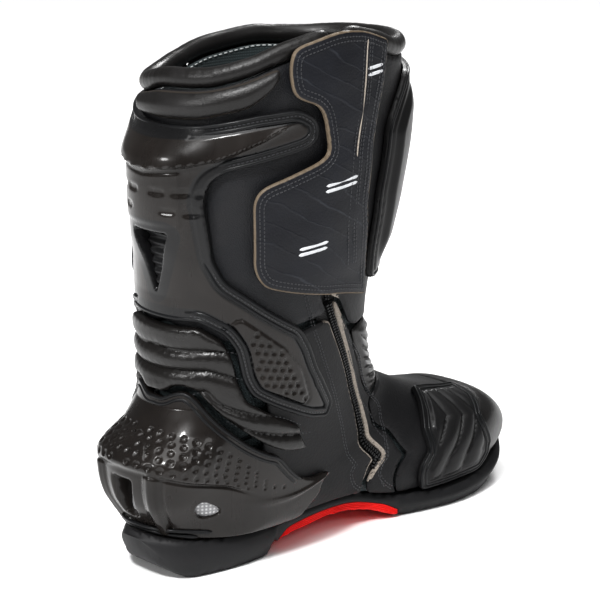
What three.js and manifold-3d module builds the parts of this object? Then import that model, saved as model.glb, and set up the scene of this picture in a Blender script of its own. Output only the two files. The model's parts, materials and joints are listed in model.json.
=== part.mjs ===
// Motorcycle riding boot for the left foot, with a hinged shaft, a zip and a hook-and-loop flap.
// Millimetres. +X points to the toe, +Z up and -Y to the medial (inner) side.
//
// The outside of the leather is one surface, surfacePoint(u, s). Its stations s fan from the collar,
// round the heel, to the toe. At each station u runs round the boot: 0 is the front or top line,
// 0.5 the medial side, 1 the back or bottom line and 1.5 (or -0.5) the lateral side.
// Each panel is an outline in (u, s) with an inner and an outer distance from that surface.

import * as THREE from 'three';
import { mergeVertices } from 'three/addons/utils/BufferGeometryUtils.js';
import Module from 'manifold-3d';

const wasm = await Module();
wasm.setup();

// ---------- driving dimensions ----------

const SOLE_GAP = 1.2;               // clearance between the panels and the top of the sole
const LEATHER = [-2, 0];            // inner and outer distance of each layer from the surface
const LINING = [-9, -5.6];
const GUSSET = [-7.4, -5.4];
const ZIP_TAPE = [-4.1, -2.8];
const ZIP_TEETH = [-2.4, -0.4];
const SHELL = [1, 4.6];           // moulded guards
const INSERT = [1, 3.7];
const FLAP = [4.6, 7.4];
const HOOK_TAPE = [2.8, 3.9];
const LOOP_TAPE = [1, 2.1];
const PADDING = [1, 6.2];

const COLLAR_ROLL_RADIUS = 5.2;
const COLLAR_ROLL_DROP = 5;         // from the rim's top line to the middle of the roll
const CHIN_HEIGHT = 10;             // how far the guard's chin stands out at the back
const HEEL_FLARE_HALF = 0.1;        // half the heel's full flare, and the fade beside it, in u
const HEEL_FLARE_FADE = 0.22;

const ZIP_GAP_HALF = 0.014;         // half the gap between the leathers, in u
const ZIP_TOOTH_HALF = 0.007;
const ZIP_TAPE_HALF = 0.036;
const ZIP_SPLIT = 0.0015;
const LINING_SLIT_HALF = 0.05;
const SEAM = 0.0035;                // gap between two leathers that meet, in u

const MM_PER_U = 230;               // about how far one unit of u reaches round the shaft
const PANEL_SAG = 0.65;             // how far a triangle edge may leave an outer panel's surface
const LINING_SAG = 1.3;
const LONGEST_EDGE = 70;

const SHANK = { length: 120, width: 18, thickness: 1.6, x: -22 };
const BOARD_GAP = 0.7;
const BOARD_THICKNESS = 2;
const FOOTBED_THICKNESS = 4;

// station, front x, front z, back x, back z, medial width, lateral width, middle y, front power, back power
const STATIONS = [
  [-50, 64, 334, -88, 322, 60, 58, 0, 2.3, 2.2],
  [-20, 63, 305, -94, 290, 61, 59, 0, 2.3, 2.2],
  [0, 63, 286, -96, 268, 62, 60, 0, 2.3, 2.2],
  [40, 61, 250, -99, 230, 62, 60, 0, 2.3, 2.2],
  [80, 54, 212, -100, 192, 60, 58, 0, 2.3, 2.2],
  [120, 45, 174, -101, 154, 55, 54, 0, 2.3, 2.2],
  [160, 40, 138, -102, 118, 51, 49, 0, 2.3, 2.1],
  [200, 44, 108, -108, 82, 48, 45, 0, 2.3, 2.1],
  [240, 56, 88, -119, 44, 44, 41, 0, 2.3, 2.3],
  [280, 72, 79, -106, 10, 42, 42, 0, 2.3, 2.8],
  [320, 93, 70, -30, 12, 42, 47, 0, 2.3, 3.2],
  [360, 114, 64, 45, 7, 47, 53, 0, 2.5, 3.4],
  [400, 136, 60, 100, 6, 44, 49, -2, 2.6, 3.4],
  [430, 153, 51, 137, 11, 31, 37, -6, 2.5, 3.0],
  [450, 163, 40, 158, 18, 15, 19, -9, 2.3, 2.4],
  [457, 165, 34, 163, 26, 4, 4, -9, 2.2, 2.2],
];

// the collar rim's top line: u, station
const RIM = [
  [0, -11], [0.3, -15], [0.42, -25], [0.54, -33], [0.66, -30], [0.76, -24], [0.88, -20], [1, -19],
  [1.1, -15], [1.2, -11], [1.3, -10], [1.4, -12], [1.5, -15], [1.6, -15], [1.7, -12],
  [1.8, -10], [2, -11],
];

// the zip's centre line: station, u
const ZIP = [
  [-40, 0.5362], [-4, 0.527], [20, 0.5229], [52, 0.5165], [84, 0.5057], [112, 0.4958], [126, 0.4905],
  [141, 0.465], [161, 0.425], [182, 0.385], [206, 0.353], [235, 0.335], [267, 0.358],
  [298, 0.427], [316, 0.485], [334, 0.555],
];
const ZIP_STRAIGHT_TOP = -20;       // stations of the straight part, where the slider runs
const ZIP_STRAIGHT_END = 132;
const SLIDER_STATION = -4;          // where the slider is parked, and the end of its straight line
const SLIDER_END_STATION = 112;
const ZIP_FOOT_END = 327;

// outsole: plan outline, and top and bottom height along x
const SOLE_PLAN = [
  [-129, -1], [-123, -19], [-108, -31], [-70, -37], [-30, -33], [10, -34], [50, -44], [88, -51],
  [118, -48], [145, -37], [163, -20], [171, -6], [166, 12], [149, 33], [118, 50], [72, 57],
  [30, 50], [-20, 40], [-70, 36], [-103, 28], [-121, 14],
];
const SOLE_TOP = [
  [-129, 27.5], [-118, 24.5], [-110, 23], [-80, 20], [-50, 19], [-20, 21], [10, 22], [50, 14], [85, 12],
  [120, 14], [145, 18], [171, 31],
];
const SOLE_BOTTOM = [
  [-129, 20], [-121, 8], [-104, 0], [-56, 0], [-44, 7], [-20, 9], [5, 11], [25, 9],
  [50, 1], [62, 0], [110, 0], [145, 7], [171, 20],
];
const ARCH = { start: -46, end: 48, top: [[-46, 7], [-34, 13], [10, 16], [36, 11], [48, 5]] };


// the middle of the boot's outer box, which becomes the origin
const BOX_MIDDLE = new THREE.Vector2(17, -3.25);

// ---------- curves ----------

// monotone cubic through [x, y1, y2, ...] rows
function curveThrough(rows) {
  const x = rows.map((row) => row[0]);
  const columns = rows[0].slice(1).map((_, k) => rows.map((row) => row[k + 1]));
  const slopes = columns.map((y) => {
    const secant = y.slice(1).map((value, i) => (value - y[i]) / (x[i + 1] - x[i]));
    return y.map((_, i) => {
      if (i === 0) return secant[0];
      if (i === y.length - 1) return secant[i - 1];
      if (secant[i - 1] * secant[i] <= 0) return 0;
      const before = x[i] - x[i - 1];
      const after = x[i + 1] - x[i];
      const w1 = 2 * after + before;
      const w2 = after + 2 * before;
      return (w1 + w2) / (w1 / secant[i - 1] + w2 / secant[i]);
    });
  });
  return (value) => {
    const at = Math.min(Math.max(value, x[0]), x[x.length - 1]);
    const i = Math.min(Math.max(x.findIndex((edge) => edge > at) - 1, 0), x.length - 2);
    const j = at >= x[x.length - 1] ? x.length - 2 : i;
    const h = x[j + 1] - x[j];
    const t = (at - x[j]) / h;
    return columns.map((y, k) => (
      (1 + 2 * t) * (1 - t) ** 2 * y[j] + t * (1 - t) ** 2 * h * slopes[k][j]
      + t * t * (3 - 2 * t) * y[j + 1] + t * t * (t - 1) * h * slopes[k][j + 1]
    ));
  };
}

const station = curveThrough(STATIONS);
const rimCurve = curveThrough(RIM);
const zipCurve = curveThrough(ZIP);
const soleTopCurve = curveThrough(SOLE_TOP);
const soleBottomCurve = curveThrough(SOLE_BOTTOM);
const archTopCurve = curveThrough(ARCH.top);

const rim = (u) => rimCurve(((u % 2) + 2) % 2)[0];
const zip = (s) => zipCurve(s)[0];
const soleTop = (x) => soleTopCurve(x)[0];
const soleBottom = (x) => soleBottomCurve(x)[0];

// ---------- the boot's surface ----------

const power = (value, exponent) => Math.sign(value) * Math.abs(value) ** exponent;

function surfacePoint(u, s) {
  const [frontX, frontZ, backX, backZ, medial, lateral, middleY, frontPower, backPower] = station(s);
  const angle = u * Math.PI;
  const exponent = 2 / (Math.cos(angle) > 0 ? frontPower : backPower);
  const along = power(Math.cos(angle), exponent);
  const across = power(Math.sin(angle), exponent);
  return new THREE.Vector3(
    (frontX + backX) / 2 + along * (frontX - backX) / 2,
    middleY - across * (across > 0 ? medial : lateral),
    (frontZ + backZ) / 2 + along * (frontZ - backZ) / 2,
  );
}

function offsetPoint(u, s, distance) {
  const stepU = 0.004;
  const stepS = 1;
  const alongU = surfacePoint(u + stepU, s).sub(surfacePoint(u - stepU, s));
  const alongS = surfacePoint(u, s + stepS).sub(surfacePoint(u, s - stepS));
  const normal = alongS.cross(alongU).normalize();
  return surfacePoint(u, s).addScaledVector(normal, -distance);
}

// where a layer meets the top of the sole at one station, as a distance |u| from the top line
function soleLine(s, side, distance) {
  const above = (u) => {
    const point = offsetPoint(side * u, s, distance);
    return point.z - soleTop(point.x) - SOLE_GAP;
  };
  let low = 0.05;
  let high = 0.999;
  if (above(high) > 0) return 1;
  for (let i = 0; i < 30; i += 1) {
    const middle = (low + high) / 2;
    if (above(middle) > 0) low = middle;
    else high = middle;
  }
  return low;
}

// the station where a layer meets the sole at the back of the heel
function heelStation(layer) {
  const stations = layer.map((distance) => {
    let low = 215;
    let high = 275;
    for (let i = 0; i < 30; i += 1) {
      const middle = (low + high) / 2;
      const point = offsetPoint(1, middle, distance);
      if (point.z > soleTop(point.x) + SOLE_GAP) low = middle;
      else high = middle;
    }
    return low;
  });
  return Math.min(...stations);
}

// the straight line that the zip's slider follows, and how far the surface stands out from it
const sliderTop = surfacePoint(zip(SLIDER_STATION), SLIDER_STATION);
const sliderEnd = surfacePoint(zip(SLIDER_END_STATION), SLIDER_END_STATION);
const zipDown = sliderEnd.clone().sub(sliderTop).normalize();
const zipOut = offsetPoint(zip(50), 50, 1).sub(offsetPoint(zip(50), 50, 0))
  .projectOnPlane(zipDown).normalize();
const zipBulge = (s) => Math.max(surfacePoint(zip(s), s).sub(sliderTop).dot(zipOut), 0);
const sunk = (layer) => layer.map((distance) => (u, s) => distance - zipBulge(s));

const span = (from, to, step) => {
  const count = Math.max(1, Math.round(Math.abs(to - from) / step));
  return Array.from({ length: count + 1 }, (_, i) => from + (to - from) * i / count);
};

// points along the sole's top edge from one station to another
const alongSole = (from, to, side, layer, step = 12) => span(from, to, step).map((s) => (
  [side * Math.min(...layer.map((distance) => soleLine(s, side, distance))), s]
));

// the same from a station on the side to the back of the heel, in shortening steps
function roundHeel(from, side, layer) {
  const heel = heelStation(layer);
  const steps = [1, 0.6, 0.34, 0.18, 0.08, 0.03];
  return steps.map((part) => {
    const s = heel + (from - heel) * part;
    return [side * Math.min(...layer.map((distance) => soleLine(s, side, distance))), s];
  });
}

// ---------- solids ----------

const byMiddle = ([a1, b1], [a2, b2]) => [(a1 + a2) / 2, (b1 + b2) / 2];

// the angle at corner c of the flat triangle a, b, c
function cornerAngle(a, b, c) {
  const [ax, ay] = [a[0] - c[0], a[1] - c[1]];
  const [bx, by] = [b[0] - c[0], b[1] - c[1]];
  return Math.atan2(Math.abs(ax * by - ay * bx), ax * bx + ay * by);
}

const turn = (a, b, c) => (b[0] - a[0]) * (c[1] - a[1]) - (b[1] - a[1]) * (c[0] - a[0]);

// swaps shared edges until no pair of triangles is better shaped the other way
function improve(points, triangles, stretch) {
  const flat = points.map(([a, b]) => [a * stretch, b]);
  const faces = triangles.map(([a, b, c]) => (turn(flat[a], flat[b], flat[c]) < 0 ? [a, c, b] : [a, b, c]));
  for (let sweep = 0; sweep < 12; sweep += 1) {
    const owner = new Map();
    faces.forEach((face, i) => face.forEach((corner, k) => {
      owner.set(`${corner}_${face[(k + 1) % 3]}`, [i, face[(k + 2) % 3]]);
    }));
    const touched = new Set();
    owner.forEach(([i, apex], edge) => {
      const [a, b] = edge.split('_').map(Number);
      const other = owner.get(`${b}_${a}`);
      if (!other || touched.has(i) || touched.has(other[0])) return;
      const opposite = other[1];
      const angles = cornerAngle(flat[a], flat[b], flat[apex])
        + cornerAngle(flat[a], flat[b], flat[opposite]);
      const convex = turn(flat[apex], flat[a], flat[opposite]) > 1e-6
        && turn(flat[opposite], flat[b], flat[apex]) > 1e-6;
      if (angles < Math.PI + 1e-6 || !convex) return;
      faces[i] = [apex, a, opposite];
      faces[other[0]] = [opposite, b, apex];
      touched.add(i).add(other[0]);
    });
    if (touched.size === 0) break;
  }
  return faces;
}

// splits every edge that leaves the surface by more than maxSag, keeping neighbours joined
function refine(points, triangles, place, maxSag, stretch) {
  let faces = improve(points, triangles, stretch);
  for (let pass = 0; pass < 10; pass += 1) {
    const middles = new Map();
    const middleOf = (a, b) => {
      const key = a < b ? `${a}_${b}` : `${b}_${a}`;
      if (!middles.has(key)) {
        const middle = byMiddle(points[a], points[b]);
        const centre = place(...middle);
        const start = place(...points[a]);
        const end = place(...points[b]);
        const nearest = new THREE.Line3(start, end).closestPointToPoint(centre, true, new THREE.Vector3());
        const sag = nearest.distanceTo(centre);
        const split = sag > maxSag || start.distanceTo(end) > LONGEST_EDGE;
        middles.set(key, split ? points.push(middle) - 1 : -1);
      }
      return middles.get(key);
    };
    const next = faces.flatMap(([a, b, c]) => splitTriangle(
      a, b, c, middleOf(a, b), middleOf(b, c), middleOf(c, a),
    ));
    if (next.length === faces.length) break;
    faces = improve(points, next, stretch);
  }
  return faces;
}

function splitTriangle(a, b, c, ab, bc, ca) {
  const cuts = [ab, bc, ca].filter((middle) => middle >= 0).length;
  if (cuts === 0) return [[a, b, c]];
  if (cuts === 3) return [[a, ab, ca], [ab, b, bc], [ca, bc, c], [ab, bc, ca]];
  if (cuts === 1) {
    if (ab >= 0) return [[a, ab, c], [ab, b, c]];
    if (bc >= 0) return [[b, bc, a], [bc, c, a]];
    return [[c, ca, b], [ca, a, b]];
  }
  if (ab < 0) return [[bc, c, ca], [a, b, bc], [a, bc, ca]];
  if (bc < 0) return [[ca, a, ab], [b, c, ca], [b, ca, ab]];
  return [[ab, b, bc], [c, a, ab], [c, ab, bc]];
}

function signedVolume(corners, faces) {
  return faces.reduce((sum, [a, b, c]) => (
    sum + corners[a].dot(corners[b].clone().cross(corners[c])) / 6
  ), 0);
}

function geometryFrom(corners, faces) {
  const facing = signedVolume(corners, faces) < 0 ? faces.map(([a, b, c]) => [a, c, b]) : faces;
  const geometry = new THREE.BufferGeometry();
  const values = corners.flatMap((point) => point.toArray());
  geometry.setAttribute('position', new THREE.Float32BufferAttribute(values, 3));
  geometry.setIndex(facing.flat());
  return geometry;
}

// a closed solid between two placings of one flat outline
function slab(outline, top, bottom, maxSag, holes = [], stretch = 1) {
  const flat = (ring) => ring.map(([a, b]) => new THREE.Vector2(a * stretch, b));
  const points = [...outline, ...holes.flat()];
  const start = THREE.ShapeUtils.triangulateShape(flat(outline), holes.map(flat));
  const faces = refine(points, start, top, maxSag, stretch);
  const weld = new Map();
  const corners = [];
  const upper = points.map((point) => {
    const place = top(...point);
    const key = place.toArray().map((value) => Math.round(value * 1000)).join('_');
    if (!weld.has(key)) {
      weld.set(key, corners.length);
      corners.push(place, bottom(...point));
    }
    return weld.get(key);
  });
  const shell = faces.map((face) => face.map((index) => upper[index]))
    .filter(([a, b, c]) => a !== b && b !== c && c !== a);
  const directed = new Set(shell.flatMap(([a, b, c]) => [`${a}_${b}`, `${b}_${c}`, `${c}_${a}`]));
  const walls = shell.flatMap(([a, b, c]) => [[a, b], [b, c], [c, a]])
    .filter(([a, b]) => !directed.has(`${b}_${a}`))
    .flatMap(([a, b]) => [[b, a, a + 1], [b, a + 1, b + 1]]);
  const under = shell.map(([a, b, c]) => [a + 1, c + 1, b + 1]);
  return geometryFrom(corners, [...shell, ...under, ...walls]);
}

// a panel of the boot between two distances from the surface; a distance may vary over the panel
function panel(outline, layer, maxSag = PANEL_SAG, holes = []) {
  const [inner, outer] = layer.map((distance) => (
    typeof distance === 'function' ? distance : () => distance
  ));
  return slab(
    outline,
    (u, s) => offsetPoint(u, s, outer(u, s)),
    (u, s) => offsetPoint(u, s, inner(u, s)),
    maxSag,
    holes,
    MM_PER_U,
  );
}

// a plate in plan, between two heights that vary along x
function plate(outline, topHeight, bottomHeight, maxSag = 0.25) {
  return slab(
    outline,
    (x, y) => new THREE.Vector3(x, y, topHeight(x)),
    (x, y) => new THREE.Vector3(x, y, bottomHeight(x)),
    maxSag,
  );
}

// a prism across the boot from a side outline in (x, z)
function crossPrism(outline, halfWidth) {
  return slab(
    outline,
    (x, z) => new THREE.Vector3(x, -halfWidth, z),
    (x, z) => new THREE.Vector3(x, halfWidth, z),
    Infinity,
  );
}

function toManifold(geometry) {
  const welded = mergeVertices(geometry.clone(), 1e-4);
  return new wasm.Manifold(new wasm.Mesh({
    numProp: 3,
    vertProperties: new Float32Array(welded.attributes.position.array),
    triVerts: new Uint32Array(welded.index.array),
  }));
}

function fromManifold(solid) {
  const mesh = solid.getMesh();
  const geometry = new THREE.BufferGeometry();
  geometry.setAttribute('position', new THREE.Float32BufferAttribute(mesh.vertProperties, 3));
  geometry.setIndex(Array.from(mesh.triVerts));
  return geometry;
}

// a box between two corners, in a frame given by its middle and three directions
function orientedBox(low, high, frame) {
  const size = new THREE.Vector3().subVectors(high, low);
  const middle = new THREE.Vector3().addVectors(high, low).multiplyScalar(0.5);
  const geometry = new THREE.BoxGeometry(size.x, size.y, size.z);
  geometry.translate(middle.x, middle.y, middle.z);
  geometry.deleteAttribute('normal');
  geometry.deleteAttribute('uv');
  return geometry.applyMatrix4(frame);
}

// a round bar swept along the collar's rim from one u to another
function rimRoll(from, to, radius, steps, sides) {
  const corners = [];
  for (let i = 0; i <= steps; i += 1) {
    const u = from + (to - from) * i / steps;
    const s = rim(u) + COLLAR_ROLL_DROP;
    const middle = offsetPoint(u, s, -3);
    const outward = offsetPoint(u, s, 1).sub(offsetPoint(u, s, 0)).normalize();
    const downward = surfacePoint(u, s + 1).sub(surfacePoint(u, s - 1)).normalize();
    for (let k = 0; k < sides; k += 1) {
      const angle = 2 * Math.PI * k / sides;
      corners.push(middle.clone()
        .addScaledVector(outward, radius * Math.cos(angle))
        .addScaledVector(downward, radius * Math.sin(angle)));
    }
  }
  const faces = [];
  for (let i = 0; i < steps; i += 1) {
    for (let k = 0; k < sides; k += 1) {
      const a = i * sides + k;
      const b = i * sides + (k + 1) % sides;
      faces.push([a, b, b + sides], [a, b + sides, a + sides]);
    }
  }
  const last = steps * sides;
  for (let k = 1; k < sides - 1; k += 1) {
    faces.push([0, k + 1, k], [last, last + k, last + k + 1]);
  }
  return geometryFrom(corners, faces);
}

// ---------- outlines ----------

const alongRim = (from, to, drop) => span(from, to, 0.08).map((u) => [u, rim(u) + drop]);
const alongZip = (from, to, shift) => span(from, to, 18).map((s) => [zip(s) + shift, s]);

// completes a half outline that starts and ends on the back line (u = 1) or the front line (u = 0)
const bothSidesOfHeel = (half) => [
  ...half, ...half.filter(([u]) => u !== 1).map(([u, s]) => [2 - u, s]).reverse(),
];
const bothSidesOfFront = (half) => [
  ...half, ...half.filter(([u]) => u !== 0).map(([u, s]) => [-u, s]).reverse(),
];
const toLateral = (outline) => outline.map(([u, s]) => [2 - u, s]).reverse();

function ellipse(middle, halfU, halfS, tilt, count = 10) {
  return Array.from({ length: count }, (_, i) => {
    const angle = 2 * Math.PI * i / count;
    const across = halfU * Math.cos(angle);
    const down = halfS * Math.sin(angle);
    return [middle[0] + across, middle[1] + down + tilt * across];
  });
}

// ---------- the model ----------

const boot = new THREE.Group();
boot.position.set(-BOX_MIDDLE.x, -BOX_MIDDLE.y, 0);

const FINISH = {
  leather: { color: 0x1c1c1e, roughness: 0.55, metalness: 0 },
  smoothLeather: { color: 0x17181a, roughness: 0.35, metalness: 0 },
  flapLeather: { color: 0x1a1b1f, roughness: 0.6, metalness: 0 },
  shell: { color: 0x232225, roughness: 0.22, metalness: 0 },
  rubber: { color: 0x141414, roughness: 0.75, metalness: 0 },
  red: { color: 0xff3a30, roughness: 0.5, metalness: 0 },
  fabric: { color: 0x2a3538, roughness: 0.95, metalness: 0 },
  zip: { color: 0x101010, roughness: 0.6, metalness: 0 },
  board: { color: 0x6b5a45, roughness: 0.9, metalness: 0 },
  foam: { color: 0x303236, roughness: 0.95, metalness: 0 },
  steel: { color: 0xb8bcc0, roughness: 0.3, metalness: 1 },
  silverMesh: { color: 0xa9abad, roughness: 0.6, metalness: 0 },
};

function add(name, geometry, finish) {
  const solid = geometry.clone();
  solid.deleteAttribute('normal');
  solid.deleteAttribute('uv');
  const welded = mergeVertices(solid, 1e-4);
  welded.computeVertexNormals();
  const mesh = new THREE.Mesh(welded, new THREE.MeshStandardMaterial(FINISH[finish]));
  mesh.name = name;
  boot.add(mesh);
  return mesh;
}

// ---------- sole ----------

const soleCurve = new THREE.CatmullRomCurve3(
  SOLE_PLAN.map(([x, y]) => new THREE.Vector3(x, y, 0)), true,
);
const soleOutline = soleCurve.getPoints(52).slice(0, -1).map(({ x, y }) => [x, y]);
const soleBlank = plate(soleOutline, soleTop, soleBottom);
const archTop = (x) => archTopCurve(x)[0];

function archOutline(margin) {
  const below = -5;
  const top = span(ARCH.start, ARCH.end, 12).map((x) => [x, archTop(x) + margin]);
  top[0][0] -= margin;
  top[top.length - 1][0] += margin;
  return [[ARCH.start - margin, below], ...top, [ARCH.end + margin, below]];
}

function shankStrip(margin, rise) {
  const half = SHANK.length / 2 + margin;
  const side = SHANK.width / 2 + margin;
  const xs = span(SHANK.x - half, SHANK.x + half, 15);
  const outline = [...xs.map((x) => [x, -side]), ...xs.reverse().map((x) => [x, side])];
  const depth = 0.3 + SHANK.thickness + margin;
  return plate(outline, (x) => soleTop(x) - 0.3 + rise, (x) => soleTop(x) - depth);
}

const archCut = toManifold(crossPrism(archOutline(0.3), 80));
const archFill = toManifold(crossPrism(archOutline(0), 80));
const shankPocket = toManifold(shankStrip(0.3, 4));
add('outsole', fromManifold(toManifold(soleBlank).subtract(archCut).subtract(shankPocket)), 'rubber');
add('arch_insert', fromManifold(toManifold(soleBlank).intersect(archFill)), 'red');
add('shank', shankStrip(0, 0), 'steel');

// the foot's layers above the sole, open along the bottom; the heel is the seam at u = -1 and 1
function footOutline(topStation, toeStation, layer) {
  const heel = heelStation(layer);
  const side = (sign) => [
    ...roundHeel(300, sign, layer).reverse(), ...alongSole(314, toeStation, sign, layer, 14),
  ];
  return [
    [0, topStation], [0.5, topStation], [1, topStation], [1, heel], ...side(1), [0, toeStation],
    ...side(-1).reverse(), [-1, heel], [-1, topStation], [-0.5, topStation],
  ];
}

// the same edge in plan, moved inside the lining, for the plates under the foot
function footPlan(inset) {
  const toPlan = ([u, s]) => {
    const point = offsetPoint(u, s, -inset);
    return [point.x, point.y];
  };
  const layer = [LINING[1]];
  const side = (sign) => [
    ...roundHeel(300, sign, layer).reverse(), ...alongSole(314, 436, sign, layer, 14),
  ];
  return [[1, heelStation(layer)], ...side(1), ...side(-1).reverse()].map(toPlan);
}

add('insole_board', plate(
  footPlan(12), (x) => soleTop(x) + BOARD_GAP + BOARD_THICKNESS, (x) => soleTop(x) + BOARD_GAP,
), 'board');
add('footbed', plate(
  footPlan(13.5),
  (x) => soleTop(x) + 2 * BOARD_GAP + BOARD_THICKNESS + FOOTBED_THICKNESS,
  (x) => soleTop(x) + 2 * BOARD_GAP + BOARD_THICKNESS,
), 'foam');

// ---------- foot ----------

add('foot_lining', panel(footOutline(215, 436, LINING), LINING, LINING_SAG), 'fabric');

const STIFFENER = [-4.6, -3];
add('heel_counter', panel(bothSidesOfHeel([
  [1, 192], [0.8, 196], [0.66, 222], [0.64, 262], ...roundHeel(300, 1, STIFFENER),
  [1, heelStation(STIFFENER)],
]), STIFFENER, LINING_SAG), 'board');
add('toe_puff', panel([
  ...alongSole(394, 425, 1, STIFFENER, 12), ...alongSole(425, 394, -1, STIFFENER, 12),
], STIFFENER, LINING_SAG), 'board');

add('vamp', panel([
  [0, 247], [0.278, 250], [0.36, 303], [0.494, 338], ...alongSole(356, 383, 1, LEATHER),
  ...alongSole(383, 356, -1, LEATHER), [-0.49, 338], [-0.36, 303], [-0.268, 247],
], LEATHER), 'leather');
add('toe_cap', panel([
  ...alongSole(385, 456, 1, LEATHER, 9), ...alongSole(456, 385, -1, LEATHER, 9),
], LEATHER), 'smoothLeather');

add('quarter_medial', panel([
  ...alongZip(146, 322, ZIP_GAP_HALF), ...alongSole(334, 302, 1, LEATHER),
  [0.62, 296], [0.6, 250], [0.62, 200], [0.66, 150],
], LEATHER), 'leather');
add('quarter_lateral', panel([
  [-0.66, 150], [-0.62, 200], [-0.6, 250], [-0.62, 296], ...alongSole(302, 356, -1, LEATHER),
  [-0.505, 337], [-0.375, 302], [-0.282, 245], [-0.305, 195], [-0.395, 170], [-0.455, 156], [-0.546, 146],
], LEATHER), 'leather');
add('front_facing', panel([
  [0.45, 137], [0.38, 161], [0.357, 168], [0.303, 199], [0.262, 245], [0.288, 250], [0.37, 302],
  [0.505, 337], ...alongSole(355, 338, 1, LEATHER), ...alongZip(322, 136, -ZIP_GAP_HALF),
], LEATHER), 'leather');
add('instep_panel', panel([
  [0, 170], [0.15, 169], [0.345, 166], [0.292, 199], [0.25, 243], [0, 243], [-0.265, 243],
  [-0.29, 193], [-0.38, 169], [-0.32, 166.5],
], [LEATHER[0], 1]), 'smoothLeather');

const zipTapeOutline = (from, to) => [
  ...alongZip(from, to, ZIP_TAPE_HALF), ...alongZip(to, from, -ZIP_TAPE_HALF),
];
const zipTeethOutline = (from, to, low, high) => [
  ...alongZip(from, to, high), ...alongZip(to, from, low),
];
add('zip_lower_tape', panel(zipTapeOutline(137, ZIP_FOOT_END), ZIP_TAPE), 'fabric');
add('zip_lower_teeth', panel(
  zipTeethOutline(137, ZIP_FOOT_END - 4, -ZIP_TOOTH_HALF, ZIP_TOOTH_HALF), ZIP_TEETH,
), 'zip');

// moulded heel cup with three mesh windows; its band flares out at the back
const heelFlare = curveThrough([
  [184, 0], [192, 3], [200, 7], [210, 14], [220, 18.5], [230, 15], [240, 10], [248, 5], [254, 1.5],
  [258, 0],
]);
function heelFace(u, s) {
  const reach = Math.max(Math.abs(u - 1) - HEEL_FLARE_HALF, 0) / HEEL_FLARE_FADE;
  const taper = reach < 1 ? (1 + Math.cos(Math.PI * reach)) / 2 : 0;
  return SHELL[1] + heelFlare(s)[0] * taper;
}
const heelWindow = [[0.965, 228], [1.035, 228], [1.028, 247], [0.972, 247]];
const sideWindow = ellipse([0.762, 247.5], 0.038, 4, -60);
const smaller = (ring, part) => {
  const middle = ring.reduce(([a, b], [u, s]) => [a + u / ring.length, b + s / ring.length], [0, 0]);
  return ring.map(([u, s]) => [
    middle[0] + (u - middle[0]) * part, middle[1] + (s - middle[1]) * part,
  ]);
};
add('heel_cup', panel(bothSidesOfHeel([
  [1, 177], [0.97, 178], [0.925, 173], [0.89, 172], [0.855, 176], [0.785, 191], [0.7, 208],
  [0.57, 232], [0.49, 281], [0.535, 296], ...roundHeel(305, 1, SHELL),
  [1, heelStation(SHELL)],
]), [SHELL[0], heelFace], PANEL_SAG, [heelWindow, sideWindow, toLateral(sideWindow)]), 'shell');
add('heel_mesh_rear', panel(smaller(heelWindow, 0.86), INSERT), 'silverMesh');
add('heel_mesh_medial', panel(smaller(sideWindow, 0.84), INSERT), 'silverMesh');
add('heel_mesh_lateral', panel(toLateral(smaller(sideWindow, 0.84)), INSERT), 'silverMesh');

// padded channels between the back guard and the heel cup
add('ankle_bellows', panel(bothSidesOfHeel([
  [1, 130], [0.86, 130], [0.79, 139], [0.758, 149], [0.733, 168], [0.703, 182], [0.585, 204],
  [0.535, 213], [0.515, 230], [0.508, 237], [0.56, 229], [0.69, 204], [0.775, 187], [0.847, 172],
  [0.89, 168], [0.93, 169], [0.967, 174], [1, 173],
]), PADDING), 'smoothLeather');
add('ankle_sleeve', panel([
  [0, 152], [0.5, 152], [1, 152], [1.5, 152], [2, 152],
  [2, 212], [1.5, 212], [1, 212], [0.5, 212], [0, 212],
], LINING, LINING_SAG), 'fabric');

// gear-shift pad on the medial toe, and the slider on the lateral toe with its two screws
add('toe_shift_pad', panel([
  [0.14, 307], [0.26, 319], [0.395, 334], [0.485, 348], [0.56, 366], [0.565, 408], [0.525, 411],
  [0.355, 388], [0.19, 386], [0.085, 374],
], INSERT), 'shell');
const SLIDER_LAYER = [1, 5.4];
add('toe_slider', panel([
  [-0.44, 370], [-0.57, 372], [-0.575, 402], [-0.55, 428], [-0.44, 426], [-0.4, 398],
], SLIDER_LAYER), 'shell');

function pointingOut(u, s, distance) {
  const outward = offsetPoint(u, s, 1).sub(offsetPoint(u, s, 0)).normalize();
  const downward = surfacePoint(u, s + 1).sub(surfacePoint(u, s - 1)).normalize();
  const along = new THREE.Vector3().crossVectors(downward, outward).normalize();
  const frame = new THREE.Matrix4().makeBasis(along, downward, outward);
  return frame.setPosition(offsetPoint(u, s, distance));
}

[['slider_screw_rear', 382], ['slider_screw_front', 415]].forEach(([name, s]) => {
  const head = new THREE.CylinderGeometry(2.6, 3.2, 1.4, 16);
  head.rotateX(Math.PI / 2);
  head.applyMatrix4(pointingOut(-0.49, s, SLIDER_LAYER[1] + 0.3 + 0.7));
  add(name, head, 'steel');
});

// ---------- shaft ----------

const LEATHER_DROP = 11;            // from the rim line to where leather and lining begin
const CALF_LATERAL_EDGE = 1.45;

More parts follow.
